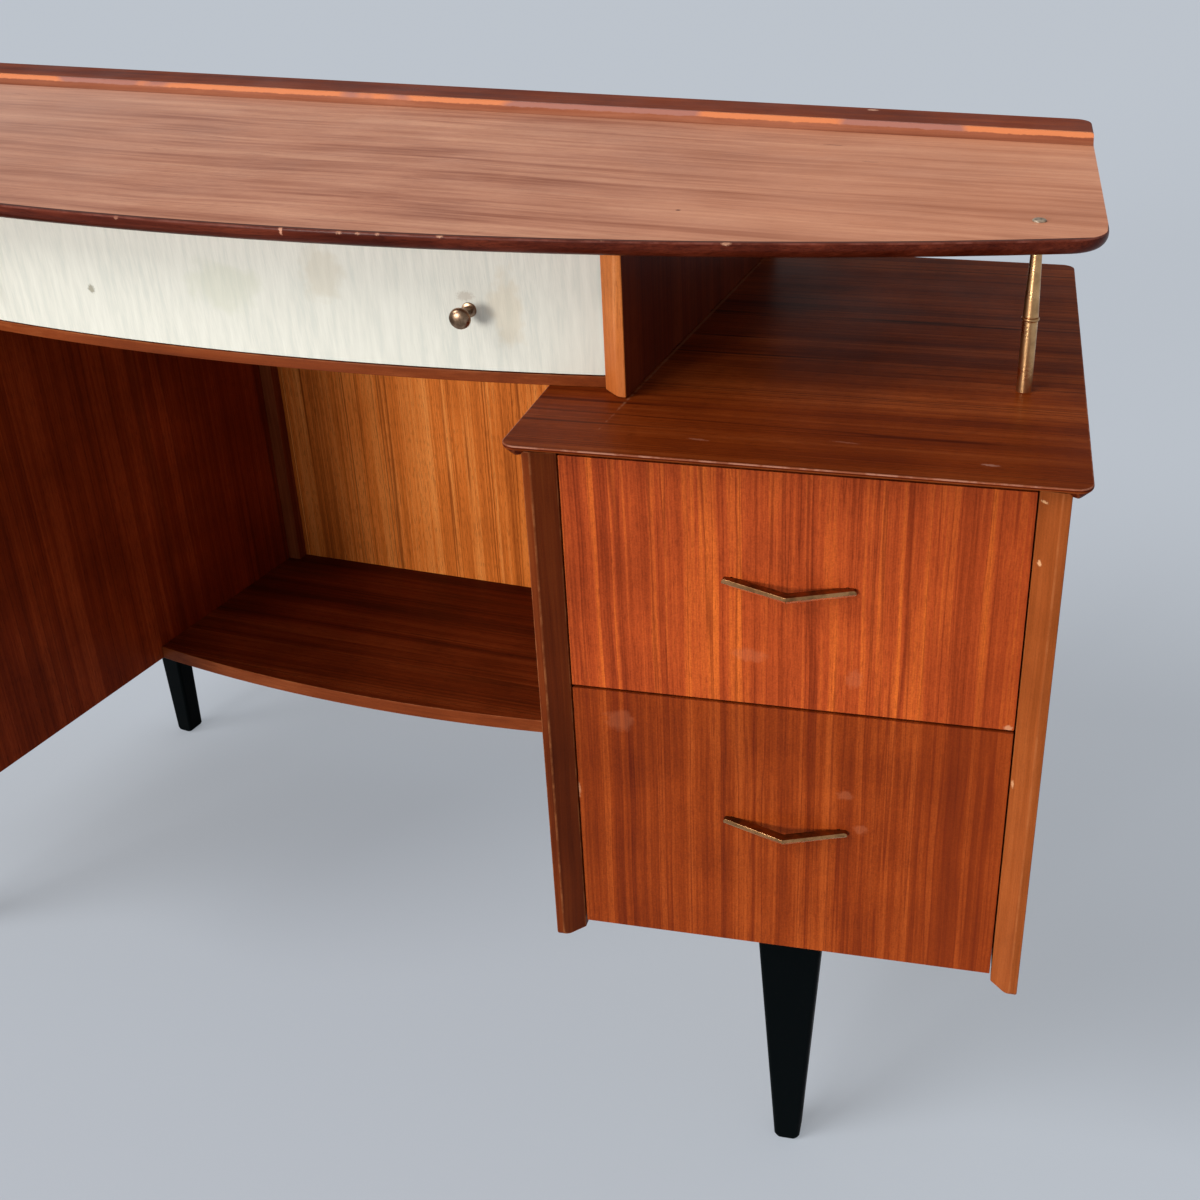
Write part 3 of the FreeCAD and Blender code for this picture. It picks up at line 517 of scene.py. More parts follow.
@dataclass(frozen=True)
class StreakedVinyl:
    """Calendered vinyl cloth with brushed-looking cream and grey-green streaks, gone matt with age."""

    name: str = "streaked_vinyl"
    slot: str = "cream_vinyl"
    pale: str = "#DCD9CB"
    cream: str = "#D5D2C4"
    grey: str = "#CDCCBF"
    streak_mm: float = 0.7
    lean: float = 4.0
    marks: tuple[Mark, ...] = (
        Mark(-92, -160, 678, 3, 8, 3.4, "#8A836C", 0.8, 1.6), Mark(198, -152, 695, 6, 8, 3.4, "#B4A896", 0.6, 1.2),
        Mark(98, -163, 704, 16, 12, 20, "#C2B69C", 0.4, 9.0), Mark(20, -165, 690, 30, 12, 18, "#C2C2A8", 0.35, 12.0),
        Mark(226, -150, 686, 12, 12, 26, "#C8B490", 0.35, 9.0))

    def build(self) -> Material:
        """Makes the material.

        Returns:
            The vinyl's material.
        """
        material, graph = new_material(self.name)
        across = 1000 / self.streak_mm
        leaning = graph.mapped(graph.place, Rotation=(0, math.radians(self.lean), 0))
        fine = graph.noise(graph.mapped(leaning, Scale=(across, across, across / 16)), 1.0, 2.0, 0.6)
        broad = graph.noise(graph.mapped(graph.place, Scale=(across / 6, across / 6, across / 60)), 1.0, 3.0)
        depth = graph.span(graph.noise(graph.place, CLOUDS, 3.0), 0.35, 0.65, 0.25, 1.0)
        drawn = graph.math("MULTIPLY", graph.math("SUBTRACT", fine, 0.5), depth)
        base = graph.ramp(graph.math("ADD", drawn, broad), (0.3, self.grey), (0.48, self.cream), (0.72, self.pale))
        for mark in self.marks:
            base = mark.over(graph, base)
        graph.surface(base, 0.55, (0.25, 0.3, drawn), IOR=LACQUER_IOR)
        return material


@dataclass(frozen=True)
class AgedBrass:
    """Turned or cast brass, once polished: bright where hands and cloths reach, brown where lacquer has gone."""

    name: str
    slot: str
    bright: str
    brown: str
    roughness: float
    patch_mm: float
    brown_share: float
    ring_mm: float = 0.0

    def build(self) -> Material:
        """Makes the material.

        Returns:
            The brass's material.
        """
        material, graph = new_material(self.name)
        patch = graph.noise(graph.place, 1000 / self.patch_mm, 4.0, 0.65)
        base = graph.mix(graph.span(patch, 0.38, 0.62, 0.0, self.brown_share), self.bright, self.brown)
        rough = graph.span(patch, 0.3, 0.7, self.roughness - 0.06, self.roughness + 0.16)
        relief = (0.05, 0.3, patch)
        if self.ring_mm:
            # fine turning rings round the rod
            phase = graph.math("MULTIPLY", graph.part(graph.place, Grain.UP), 2000 * math.pi / self.ring_mm)
            relief = (0.12, 0.3, graph.math("SINE", phase))
        graph.surface(base, rough, relief, Metallic=1.0)
        return material


@dataclass(frozen=True)
class Coating:
    """A painted or plated surface with faint clouding and small worn specks."""

    name: str
    slot: str
    base: str
    worn: str
    metallic: float
    roughness: float
    speck_mm: float
    speck_share: float
    speck_floor: float
    gloss: float = 0.3

    def build(self) -> Material:
        """Makes the material.

        Returns:
            The coating's material.
        """
        material, graph = new_material(self.name)
        cloud = graph.noise(graph.place, PAINT_CLOUDS, 4.0)
        speck = graph.noise(graph.place, 1000 / self.speck_mm, 3.0)
        amount = graph.span(speck, self.speck_floor, self.speck_floor + 0.08, 0.0, self.speck_share)
        rough = graph.span(cloud, 0.3, 0.7, self.roughness - 0.08, self.roughness + 0.12)
        graph.surface(graph.mix(amount, self.base, self.worn), rough, (0.12, 0.3, cloud),
                      Metallic=self.metallic, Specular_IOR_Level=self.gloss)
        return material


# Sliced mahogany veneer of the floating top, pale and pinkish partly from a painted sheen: soft low streaks across the
# whole width
TOP_VENEER = Wood(
    "faded_top_veneer", "top_veneer", "#985A42", "#C4866A", "#DCA080", "#82493A", Grain.ALONG, Grain.DEEP,
    ribbon_mm=17.0, ribbon=0.12, band_mm=20.0, band=0.42, streak_mm=7.0, streak=0.26, thread_mm=1.8, thread=0.16,
    patches=0.3, run=22.0, line_strength=0.25, pore_strength=0.22, mottle=0.03, speckle=0.03, wander_mm=12.0,
    roughness=0.36, gloss=0.05, bump=0.06, worn="#E0B49C", wear=0.35, layers=(
        # the pale pinkish fade towards the left is a painted sheen; the second fade turns the right end more orange
        Fade(Grain.ALONG, 60, -520, "#D6A894", 0.45), Fade(Grain.ALONG, 160, 520, "#E29468", 0.3),
        Mark(385, 124.5, 750, 9, 1.2, 4, "#6E3E30", 0.7, 1.5), Mark(424.5, 73, 750, 7, 1.0, 4, "#7A4A3A", 0.6, 1.5),
        Mark(-394, 137, 750, 9, 1.2, 4, "#84523F", 0.6, 1.5), Mark(332, -102, 750, 1.8, 1.8, 4, "#5A3022", 0.9, 1.0),
        BowedMargin(BOW_Y, 1580.4, 1.1, "#240A05", "#5A2718")))
# Solid mahogany lipping, stained almost to aubergine, its arris rubbed pale in small nicks; the paler colour of its
# eased edges is a painted highlight along the arris
LIPPING = Wood(
    "stained_lipping", "dark_lipping", "#360C04", "#501C0E", "#6C2E1C", "#200804", Grain.ALONG, Grain.UP,
    ribbon=0.1, band_mm=16.0, streak_mm=4.0, run=24.0, line_strength=0.25, roughness=0.32, gloss=0.08, bump=0.06,
    # worn colour of the eased edges: a painted highlight along the arris
    worn="#7A4438", wear=0.7, layers=(
        Mark(106.5, -212.9, 749, 1.2, 3, 3.5, "#CF9274", 0.9, 1.2),
        Mark(145.8, -211.4, 750, 2.6, 3, 2, "#C89070", 0.9, 1.2),
        Mark(158, -210.2, 750, 2.2, 3, 2, "#C89070", 0.8, 1.2),
        Mark(171, -208.4, 750, 1.8, 3, 1.6, "#C89070", 0.8, 1.2),
        Mark(210.9, -202.3, 750, 2.4, 2, 1.2, "#CD9878", 0.9, 1.2),
        Mark(-12, -216.5, 749.5, 2, 3, 1.6, "#A87058", 0.7, 1.2),
        Mark(310.4, -183.3, 750, 2, 2, 1, "#CD9878", 0.9, 1.2),
        Mark(384.8, -168.9, 750, 3, 3, 1.8, "#CD9878", 0.8, 1.2)))
# The same solid wood on the back rail, redder, with its front arris rubbed through to raw orange wood
RAIL = replace(
    LIPPING, name="stained_back_rail", dark="#5C1A00", mid="#782C04", light="#8C3C12", line="#3E1002",
    across=Grain.DEEP, gloss=0.02, seed=3.0, worn="#8A4A2A", wear=0.5, layers=(
        WornArris(ARRIS_Y, ARRIS_Z, 3.0, 1.8, "#CC7A4E", "#A06A5C"),
        Mark(394, 234.5, 758, 5, 3, 4, "#D9A488", 0.9, 2.0)))
# The veneered hollow in front of the rail, painted darker as the shade in the hollow
SHADED_COVE_VENEER = replace(
    TOP_VENEER, name="cove_veneer", dark="#7A3E28", mid="#93543A", light="#A8684C", layers=(
        WornArris(ARRIS_Y, ARRIS_Z, 4.2, 2.0, "#CC7A4E", "#A06A5C"),))
# Ribbon-striped sapele veneer of the drawer fronts, sliced on the quarter and matched across both drawers
DRAWER_VENEER = Wood(
    "striped_drawer_veneer", "drawer_veneer", "#74280E", "#A6441C", "#CC6224", "#5E1C0A", Grain.UP, Grain.ALONG,
    ribbon_mm=5.0, ribbon=0.32, band_mm=16.0, band=0.3, streak_mm=4.0, streak=0.24,
    patches=0.35, run=44.0, pore_strength=0.3, mottle=0.08, speckle=0.12, wander_mm=4.0, gloss=0.05, seed=1.7,
    worn="#4E1A0A", wear=0.6)
# The same veneer on the pedestals' sides, darker, partly as painted shade on these faces turned from the light, in
# wider stripes
SIDE_VENEER = Wood(
    "striped_side_veneer", "side_veneer", "#541807", "#762A0D", "#963F1A", "#3A0F05", Grain.UP, Grain.DEEP,
    ribbon_mm=11.0, ribbon=0.2, band_mm=40.0, band=0.2, streak=0.2, thread_mm=1.8, patches=0.3,
    run=70.0, line_strength=0.4, wander_mm=3.0, gloss=0.04, seed=5.1, worn="#9A552C", wear=0.4)
# Veneer of the pedestal tops, deep brown, darker towards the front
PED_TOP_VENEER = Wood(
    "dark_striped_veneer", "ped_top_wood", "#551D09", "#80360F", "#A04F22", "#2E0B04", Grain.ALONG, Grain.DEEP,
    ribbon_mm=14.0, ribbon=0.2, band_mm=30.0, band=0.44, streak_mm=3.5, run=70.0, line_strength=0.8, wander_mm=3.0,
    roughness=0.36, gloss=0.02, seed=8.3, worn="#A26C56", wear=1.3, layers=(
        Fade(Grain.DEEP, -40, -200, "#521804", 0.45),))
# The narrow edge and undercut of the pedestal tops, painted darkest as their shade under the floating top
TOP_EDGE = replace(PED_TOP_VENEER, name="dark_top_edge", dark="#2A0A04", mid="#4A1505", light="#5E2009",
                   across=Grain.UP)
# Veneer of the centre drawer's case, darker than the pedestals' sides; like theirs, its dark tone is partly painted
# shade
CASE_VENEER = replace(SIDE_VENEER, name="dark_case_veneer", slot="case_wood", dark="#46180A", mid="#64240E",
                      light="#7E381A", seed=2.2)
# Solid front edge of the case sides, sanded through its stain by hands
CASE_NOSE = Wood(
    "rubbed_case_nose", "case_wood", "#B2602E", "#CC7638", "#E09058", "#8A441E", Grain.UP, Grain.ALONG,
    band_mm=12.0, streak_mm=3.0, run=26.0, ribbon=0.1, line_strength=0.1, gloss=0.06, seed=4.4, worn="#E0A070",
    layers=(Fade(Grain.UP, 700, 640, "#9A4A1C", 0.6),))
# Golden veneer of the kneehole's back, never darkened by polish
KNEE_VENEER = Wood(
    "golden_knee_veneer", "knee_veneer", "#A4501A", "#DA742C", "#F0964A", "#5E2408", Grain.UP, Grain.ALONG,
    ribbon=0.24, band_mm=26.0, band=0.26, streak_mm=4.0, thread_mm=1.6, thread=0.24, patches=0.25,
    run=70.0, line_strength=0.6, mottle=0.04, wander_mm=2.0, roughness=0.4, gloss=0.04, seed=6.4)
# Veneer of the kneehole's shelf, dark partly as painted shade inside the kneehole
SHELF_VENEER = Wood(
    "dark_shelf_veneer", "shelf_veneer", "#40150A", "#66260C", "#843C1A", "#2C0C04", Grain.ALONG, Grain.DEEP,
    ribbon_mm=22.0, ribbon=0.2, band_mm=30.0, band=0.3, patches=0.25, run=60.0, line_strength=0.4,
    wander_mm=3.0, gloss=0.04, seed=4.6)
# Solid ochre-stained hardwood of the pedestals' stiles
STILE_WOOD = Wood(
    "ochre_stile_wood", "stile_wood", "#7A3A14", "#8E461C", "#A05426", "#5E2C10", Grain.UP, Grain.ALONG,
    band_mm=16.0, streak_mm=4.0, run=30.0, ribbon=0.08, line_strength=0.1, pore_strength=0.15, mottle=0.05,
    gloss=0.06, seed=9.9, worn="#A8663A", wear=0.3)
# The stile beside the kneehole, painted darker as shade, with a rubbed nose
DARK_STILE_WOOD = replace(STILE_WOOD, name="dark_stile_wood", dark="#4E1B05", mid="#66280A", light="#7C3812",
                          worn="#9A5C34", wear=0.6)
# The same wood under the centre drawer and along the shelf, browner
CASE_LIP_WOOD = replace(STILE_WOOD, name="worn_front_lip", slot="case_lip", dark="#602810", mid="#783616",
                        light="#8E4A26", grain=Grain.ALONG, across=Grain.UP, seed=7.7)
# Bare beech of the drawer boxes, runners and bottoms
BARE_WOOD = Wood(
    "bare_beech", "inner_wood", "#B98F62", "#CFA877", "#DDBB8C", "#A27C52", Grain.DEEP, Grain.UP,
    band_mm=24.0, streak_mm=6.0, run=30.0, line_strength=0.2, roughness=0.6, gloss=0.15, worn="#E2C79E", wear=0.3)
# Unfinished plywood of backs and drawer bottoms
PLYWOOD = Wood(
    "plain_plywood", "plywood", "#A67A4C", "#BF9562", "#CDA777", "#8F6840", Grain.ALONG, Grain.DEEP,
    band_mm=40.0, streak_mm=9.0, run=20.0, line_strength=0.2, roughness=0.65, gloss=0.12, worn="#D8BC92", wear=0.3)
# Drawn brass rod, turned to a taper, once lacquered: bright with fine turning rings
POST_BRASS = AgedBrass("turned_post_brass", "brass", "#E2B27C", "#7A5434", 0.26, 14.0, 0.45, ring_mm=0.9)
# Cast and ground brass, its lacquer browned; the bright lower facet and the dark upper face are painted in the copies
# below
PULL_BRASS = AgedBrass("aged_pull_brass", "pull_brass", "#C08C5C", "#54341C", 0.3, 12.0, 0.7)
# The ground lower half of its front and its lower edge, painted bright as a highlight
HIGHLIT_BRASS = AgedBrass("touched_pull_brass", "pull_brass", "#FFE0AC", "#C8965C", 0.22, 14.0, 0.3)
# The upper face of the pull, painted dark as a reflection
DARK_REFLECTION_BRASS = AgedBrass("blackened_pull_brass", "pull_brass", "#8E6638", "#34200F", 0.34, 12.0, 0.8)
# Turned brass of the knobs, its lacquer browned all over
KNOB_BRASS = AgedBrass("aged_knob_brass", "knob_brass", "#A4866C", "#443022", 0.28, 7.0, 0.85)
# Steel screws with a dull yellowed plating
SCREW_STEEL = Coating("dull_screw_steel", "steel", "#A89884", "#6A5A4C", 0.4, 0.42, 2.0, 0.5, 0.5)
# Black satin paint on the legs
BLACK_PAINT = Coating("black_leg_paint", "black_paint", "#020506", "#1C1D1A", 0.0, 0.4, 2.5, 0.4, 0.68, 0.03)
# The same paint on the legs' edges, rubbed to a chalky grey
RUBBED_PAINT = Coating("rubbed_leg_paint", "black_paint", "#0A0C0D", "#5A5B58", 0.0, 0.5, 5.0, 0.8, 0.47, 0.1)
# Zinc-plated steel of the leg plates
ZINC = Coating("zinc_plate", "steel", "#8C9094", "#6A6C6E", 1.0, 0.42, 4.0, 0.4, 0.55)


def select_only(piece: Piece) -> None:
    """Makes a piece the only selected and active object.

    Args:
        piece: The piece.
    """
    bpy.ops.object.select_all(action="DESELECT")
    piece.select_set(True)
    bpy.context.view_layer.objects.active = piece


@contextmanager
def editing() -> Iterator[None]:
    """Keeps the active piece in edit mode for a block."""
    bpy.ops.object.mode_set(mode="EDIT")
    yield
    bpy.ops.object.mode_set(mode="OBJECT")


def body_of(node: str) -> str:
    """Names the body that carries a node."""
    bodies = frame["record"]["behaviour"]["bodies"]
    return next(body for body, nodes in bodies.items() if node in nodes)


@dataclass(frozen=True)
class FaceFinish:
    """A second finish, and that of its eased edges, for faces that pass a test on their middle and normal."""

    material: Material
    test: Test
    rim: Material | None = None


def refine(node: str, material: Material, edge_mm: float = 0.6,
           rubbed: Material | None = None, faces: tuple[FaceFinish, ...] = (),
           ease: Callable[[Vector], float] | None = None, reshape: Callable[[Piece], None] | None = None,
           steps: int = 2, clamp: bool = True) -> None:
    """Makes a finer piece from a copy of a node: merged faces, eased edges and smooth curves.

    Args:
        node: The node that the piece stands for, whose body carries it.
        material: The material that the piece wears.
        edge_mm: How far the sharp edges are eased.
        rubbed: The material of the eased edges, if it differs.
        faces: Finishes for some of the faces.
        ease: The share of the easing that an edge gets, from its middle.
        reshape: A step that changes the piece's form before its edges are eased.
        steps: Segments of each eased edge.
        clamp: False where short edges at the corners would hold the easing back.
    """
    piece = bpy.data.objects.new(f"{node}_dressed", frame["nodes"][node].data.copy())
    bpy.context.scene.collection.objects.link(piece)
    mesh = piece.data
    mesh.materials.clear()
    for worn in (material, rubbed or material, *(face.material for face in faces)):
        mesh.materials.append(worn)
    select_only(piece)
    with editing():
        bpy.ops.mesh.select_all(action="SELECT")
        bpy.ops.mesh.remove_doubles(threshold=MERGE_MM * MM)
        bpy.ops.mesh.dissolve_limited(angle_limit=math.radians(FLAT))
    if reshape:
        reshape(piece)
    for polygon in mesh.polygons:
        polygon.material_index = 0
    for number, face in enumerate(faces, start=2):
        repaint(piece, 0, number, face.test)
    if edge_mm:
        bevel = piece.modifiers.new("eased_edges", "BEVEL")
        bevel.width = edge_mm * MM
        bevel.segments = steps
        bevel.limit_method = "ANGLE"
        bevel.angle_limit = math.radians(SHARP)
        bevel.material = 1
        bevel.use_clamp_overlap = clamp
        if ease:
            weigh_edges(piece, ease)
            bevel.limit_method = "WEIGHT"
        bpy.ops.object.modifier_apply(modifier=bevel.name)
        repaint(piece, 1, 0, lambda middle, normal: normal.z < LOOKS_DOWN)
        for face in faces:
            if face.rim:
                mesh.materials.append(face.rim)
                repaint(piece, 1, len(mesh.materials) - 1, face.test)
    bpy.ops.object.shade_smooth_by_angle(angle=math.radians(SMOOTH))
    flat = piece.modifiers.new("flat_faces_stay_flat", "WEIGHTED_NORMAL")
    flat.keep_sharp = True
    bpy.ops.object.modifier_apply(modifier=flat.name)
    place_on(piece, node)


def looks_up(middle: Vector, normal: Vector) -> bool:
    """Tells whether a face looks up."""
    return normal.z > LOOKS_UP


def repaint(piece: Piece, old: int, new: int, test: Test) -> None:
    """Changes the material of the faces that pass a test.

    Args:
        piece: The piece, in object mode.
        old: Number of the material that the faces wear.
        new: Number of the material that they get.
        test: The test of a face's middle in millimetres and its normal.
    """
    for polygon in piece.data.polygons:
        if polygon.material_index == old and test(polygon.center / MM, polygon.normal):
            polygon.material_index = new


def weigh_edges(piece: Piece, ease: Callable[[Vector], float]) -> None:
    """Marks how far each sharp edge is eased.

    Args:
        piece: The active piece, in object mode.
        ease: The share of the easing that an edge gets, from its middle.
    """
    with editing():
        bpy.ops.mesh.select_mode(type="EDGE")
        bpy.ops.mesh.select_all(action="DESELECT")
        bpy.ops.mesh.edges_select_sharp(sharpness=math.radians(SHARP))
    weights = piece.data.attributes.new("bevel_weight_edge", "FLOAT", "EDGE")
    places = [vertex.co / MM for vertex in piece.data.vertices]
    for edge in piece.data.edges:
        middle = (places[edge.vertices[0]] + places[edge.vertices[1]]) / 2
        weights.data[edge.index].value = ease(middle) if edge.select else 0.0


def hold(piece: Piece, node: str) -> None:
    """Puts a finished piece on the body that carries a node.

    Args:
        piece: The piece.
        node: The node on whose body the piece rides.
    """
    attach(piece, body_of(node))
    log.info("%s: %d faces", piece.name, len(piece.data.polygons))


def place_on(piece: Piece, node: str) -> None:
    """Puts a finished piece in a node's place."""
    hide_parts(node)
    hold(piece, node)


def pick_faces(piece: Piece, test: Test) -> None:
    """Selects the faces of the piece in edit mode that pass a test on their middle and normal.

    Args:
        piece: The piece, which is in edit mode before and after.
        test: The test; it gets millimetres.
    """
    bpy.ops.mesh.select_all(action="DESELECT")
    bpy.ops.mesh.select_mode(type="FACE")
    bpy.ops.object.mode_set(mode="OBJECT")
    for polygon in piece.data.polygons:
        polygon.select = test(polygon.center / MM, polygon.normal)
    bpy.ops.object.mode_set(mode="EDIT")


@dataclass(frozen=True)
class Turning:
    """A lathe-turned piece: radius and height of each station in millimetres, from the foot to the head."""

    stations: tuple[tuple[float, float], ...]
    sides: int = 48

    def make(self, name: str, material: Material) -> Piece:
        """Models the piece upright over the origin.

        Args:
            name: The piece's name.
            material: Its material.

        Returns:
            The piece.
        """
        (radius, height), *rest = self.stations
        bpy.ops.object.select_all(action="DESELECT")
        bpy.ops.mesh.primitive_circle_add(vertices=self.sides, radius=radius * MM, fill_type="NGON",
                                          location=(0, 0, height * MM))
        piece = bpy.context.active_object
        piece.name = name
        bpy.ops.object.transform_apply(location=True, rotation=True, scale=True)
        with editing():
            bpy.ops.mesh.select_all(action="SELECT")
            for wide, tall in rest:
                bpy.ops.mesh.extrude_region_move(TRANSFORM_OT_translate={"value": (0, 0, (tall - height) * MM)})
                share = wide / radius
                bpy.ops.transform.resize(value=(share, share, 1), center_override=(0, 0, tall * MM))
                radius, height = wide, tall
            bpy.ops.mesh.select_all(action="SELECT")
            bpy.ops.mesh.normals_make_consistent(inside=False)
        bpy.ops.object.shade_smooth_by_angle(angle=math.radians(SMOOTH))
        piece.data.materials.append(material)
        return piece


def set_at(piece: Piece, at: Vector | tuple[float, float, float],
           turn: tuple[float, float, float] = (0.0, 0.0, 0.0)) -> Piece:
    """Moves a piece's mesh to its place, with the object left at the origin.

    Args:
        piece: The piece.
        at: The place in millimetres.
        turn: Turns about X, Y and Z in degrees.

    Returns:
        The piece.
    """
    select_only(piece)
    piece.location = [value * MM for value in at]
    piece.rotation_euler = [math.radians(value) for value in turn]
    bpy.ops.object.transform_apply(location=True, rotation=True, scale=True)
    return piece


def twin(piece: Piece, name: str) -> Piece:
    """Copies a piece with a mesh of its own.

    Args:
        piece: The piece.
        name: The copy's name.

    Returns:
        The copy.
    """
    other = piece.copy()
    other.data = piece.data.copy()
    other.name = name
    bpy.context.scene.collection.objects.link(other)
    return other


@dataclass(frozen=True)
class SlottedScrew:
    """A round-headed screw with a straight driver slot, seen from its head."""

    radius: float
    height: float
    slot_mm: float = 1.0

    def make(self, name: str, material: Material) -> Piece:
        """Models the head upright over the origin.

        Args:
            name: The piece's name.
            material: Its material.

        Returns:
            The screw head.
        """
        r, h = self.radius, self.height
        cut_mm = h * 0.55
        head = Turning(((r, 0), (r, h * 0.4), (r * 0.93, h * 0.72), (r * 0.78, h)), 40).make(name, material)
        with editing():
            for side in (-0.5, 0.5):
                pick_faces(head, lambda middle, normal: middle.z > h - 0.01)
                bpy.ops.mesh.bisect(plane_co=(0, side * self.slot_mm * MM, 0), plane_no=(0, 1, 0))
            pick_faces(head, lambda middle, normal: middle.z > h - 0.01 and abs(middle.y) < self.slot_mm * 0.45)
            bpy.ops.mesh.extrude_region_move(TRANSFORM_OT_translate={"value": (0, 0, -cut_mm * MM)})
        return head


@dataclass
class FloatingTop:
    """The veneered top with its lipping, raised back rail, brass posts and their screws."""

    edge_mm: float = 1.0
    post_x: float = 562.0
    post_y: float = -65.12
    top_z: float = 750.0
    half_width: float = 608.0
    bow_radius: float = 1584.0
    lipping_mm: float = 12.0
    screw: SlottedScrew = SlottedScrew(4.6, 1.5)
    lower: Turning = Turning(((4.9, 634), (5.2, 634.4), (5.2, 658), (5.1, 683.6), (4.8, 684)))
    collar: Turning = Turning(((4.9, 684), (5.6, 684.25), (5.9, 684.7), (5.9, 685.7), (5.6, 686.15), (4.9, 686.4)))
    upper: Turning = Turning(((4.9, 686.4), (5.2, 686.8), (4.5, 708), (3.7, 731), (3.4, 739)))

    @staticmethod
    def is_cove(middle: Vector, normal: Vector) -> bool:
        """Tells whether a face of the back rail is part of the hollow before its arris."""
        return middle.y < ARRIS_Y and normal.y < -0.05 and abs(normal.x) < 0.5

    def outer(self, middle: Vector) -> float:
        """Eases the lipping's outer edges alone, so that its joint with the veneer stays closed.

        Args:
            middle: An edge's middle in millimetres.

        Returns:
            The share of the easing that the edge gets.
        """
        away = math.hypot(middle.x, middle.y - BOW_Y)
        inner = abs(middle.x) < self.half_width - self.lipping_mm and away < self.bow_radius - self.lipping_mm
        return 0.0 if inner else 1.0

    def dress(self) -> None:
        """Finishes every piece of the top."""
        veneer = TOP_VENEER.build()
        refine("top_board", veneer, 0.0)
        refine("top_lipping", LIPPING.build(), self.edge_mm, LIPPING.build(True), (
            FaceFinish(veneer, lambda middle, normal: normal.z > 0.9),), self.outer)
        cove = FaceFinish(SHADED_COVE_VENEER.build(), self.is_cove)
        refine("top_back_rail", RAIL.build(), self.edge_mm, RAIL.build(True), (cove,))
        brass = POST_BRASS.build()
        for node, turning in (("post_lower", self.lower), ("post_collars", self.collar), ("post_upper", self.upper)):
            right = turning.make(f"{node}_right", brass)
            left = twin(right, f"{node}_left")
            for piece, x in ((right, self.post_x), (left, -self.post_x)):
                place_on(set_at(piece, (x, self.post_y, 0)), node)
        right = self.screw.make("post_screw_right", SCREW_STEEL.build())
        left = twin(right, "post_screw_left")
        for piece, x, turn in ((right, self.post_x, 35), (left, -self.post_x, -20)):
            hold(set_at(piece, (x, self.post_y, self.top_z), (0, 0, turn)), "top_board")


@dataclass
class DrawerCase:
    """The case between the pedestals that holds the centre drawer."""

    edge_mm: float = 0.8

    def dress(self) -> None:
        """Finishes every piece of the case."""
        veneer, rubbed, nose = CASE_VENEER.build(), CASE_VENEER.build(True), CASE_NOSE.build()
        refine("case_sides", veneer, self.edge_mm, rubbed, (
            FaceFinish(nose, lambda middle, normal: normal.y < LOOKS_FORWARD, nose),))
        refine("case_bottom", veneer, 0.0)
        refine("case_front_lip", CASE_LIP_WOOD.build(), self.edge_mm, CASE_LIP_WOOD.build(True))
        refine("case_back", PLYWOOD.build(), 0.4)


def on_side(finish: Wood, side: Side, word: str, marks: tuple[Mark, ...] = ()) -> Wood:
    """Turns a finish with a pedestal, and lays marks on it.

    Args:
        finish: The finish.
        side: The pedestal.
        word: What the finish's name gets at its end.
        marks: Marks whose x is across the pedestal and y behind the drawer faces.

    Returns:
        The finish in the desk's coordinates.
    """
    moved = tuple(replace(mark, **dict(zip("xyz", side.place(mark.x, mark.y, mark.z)))) for mark in marks)
    return replace(finish, name=f"{finish.name}_{word}", turn=side.turn, layers=finish.layers + moved)


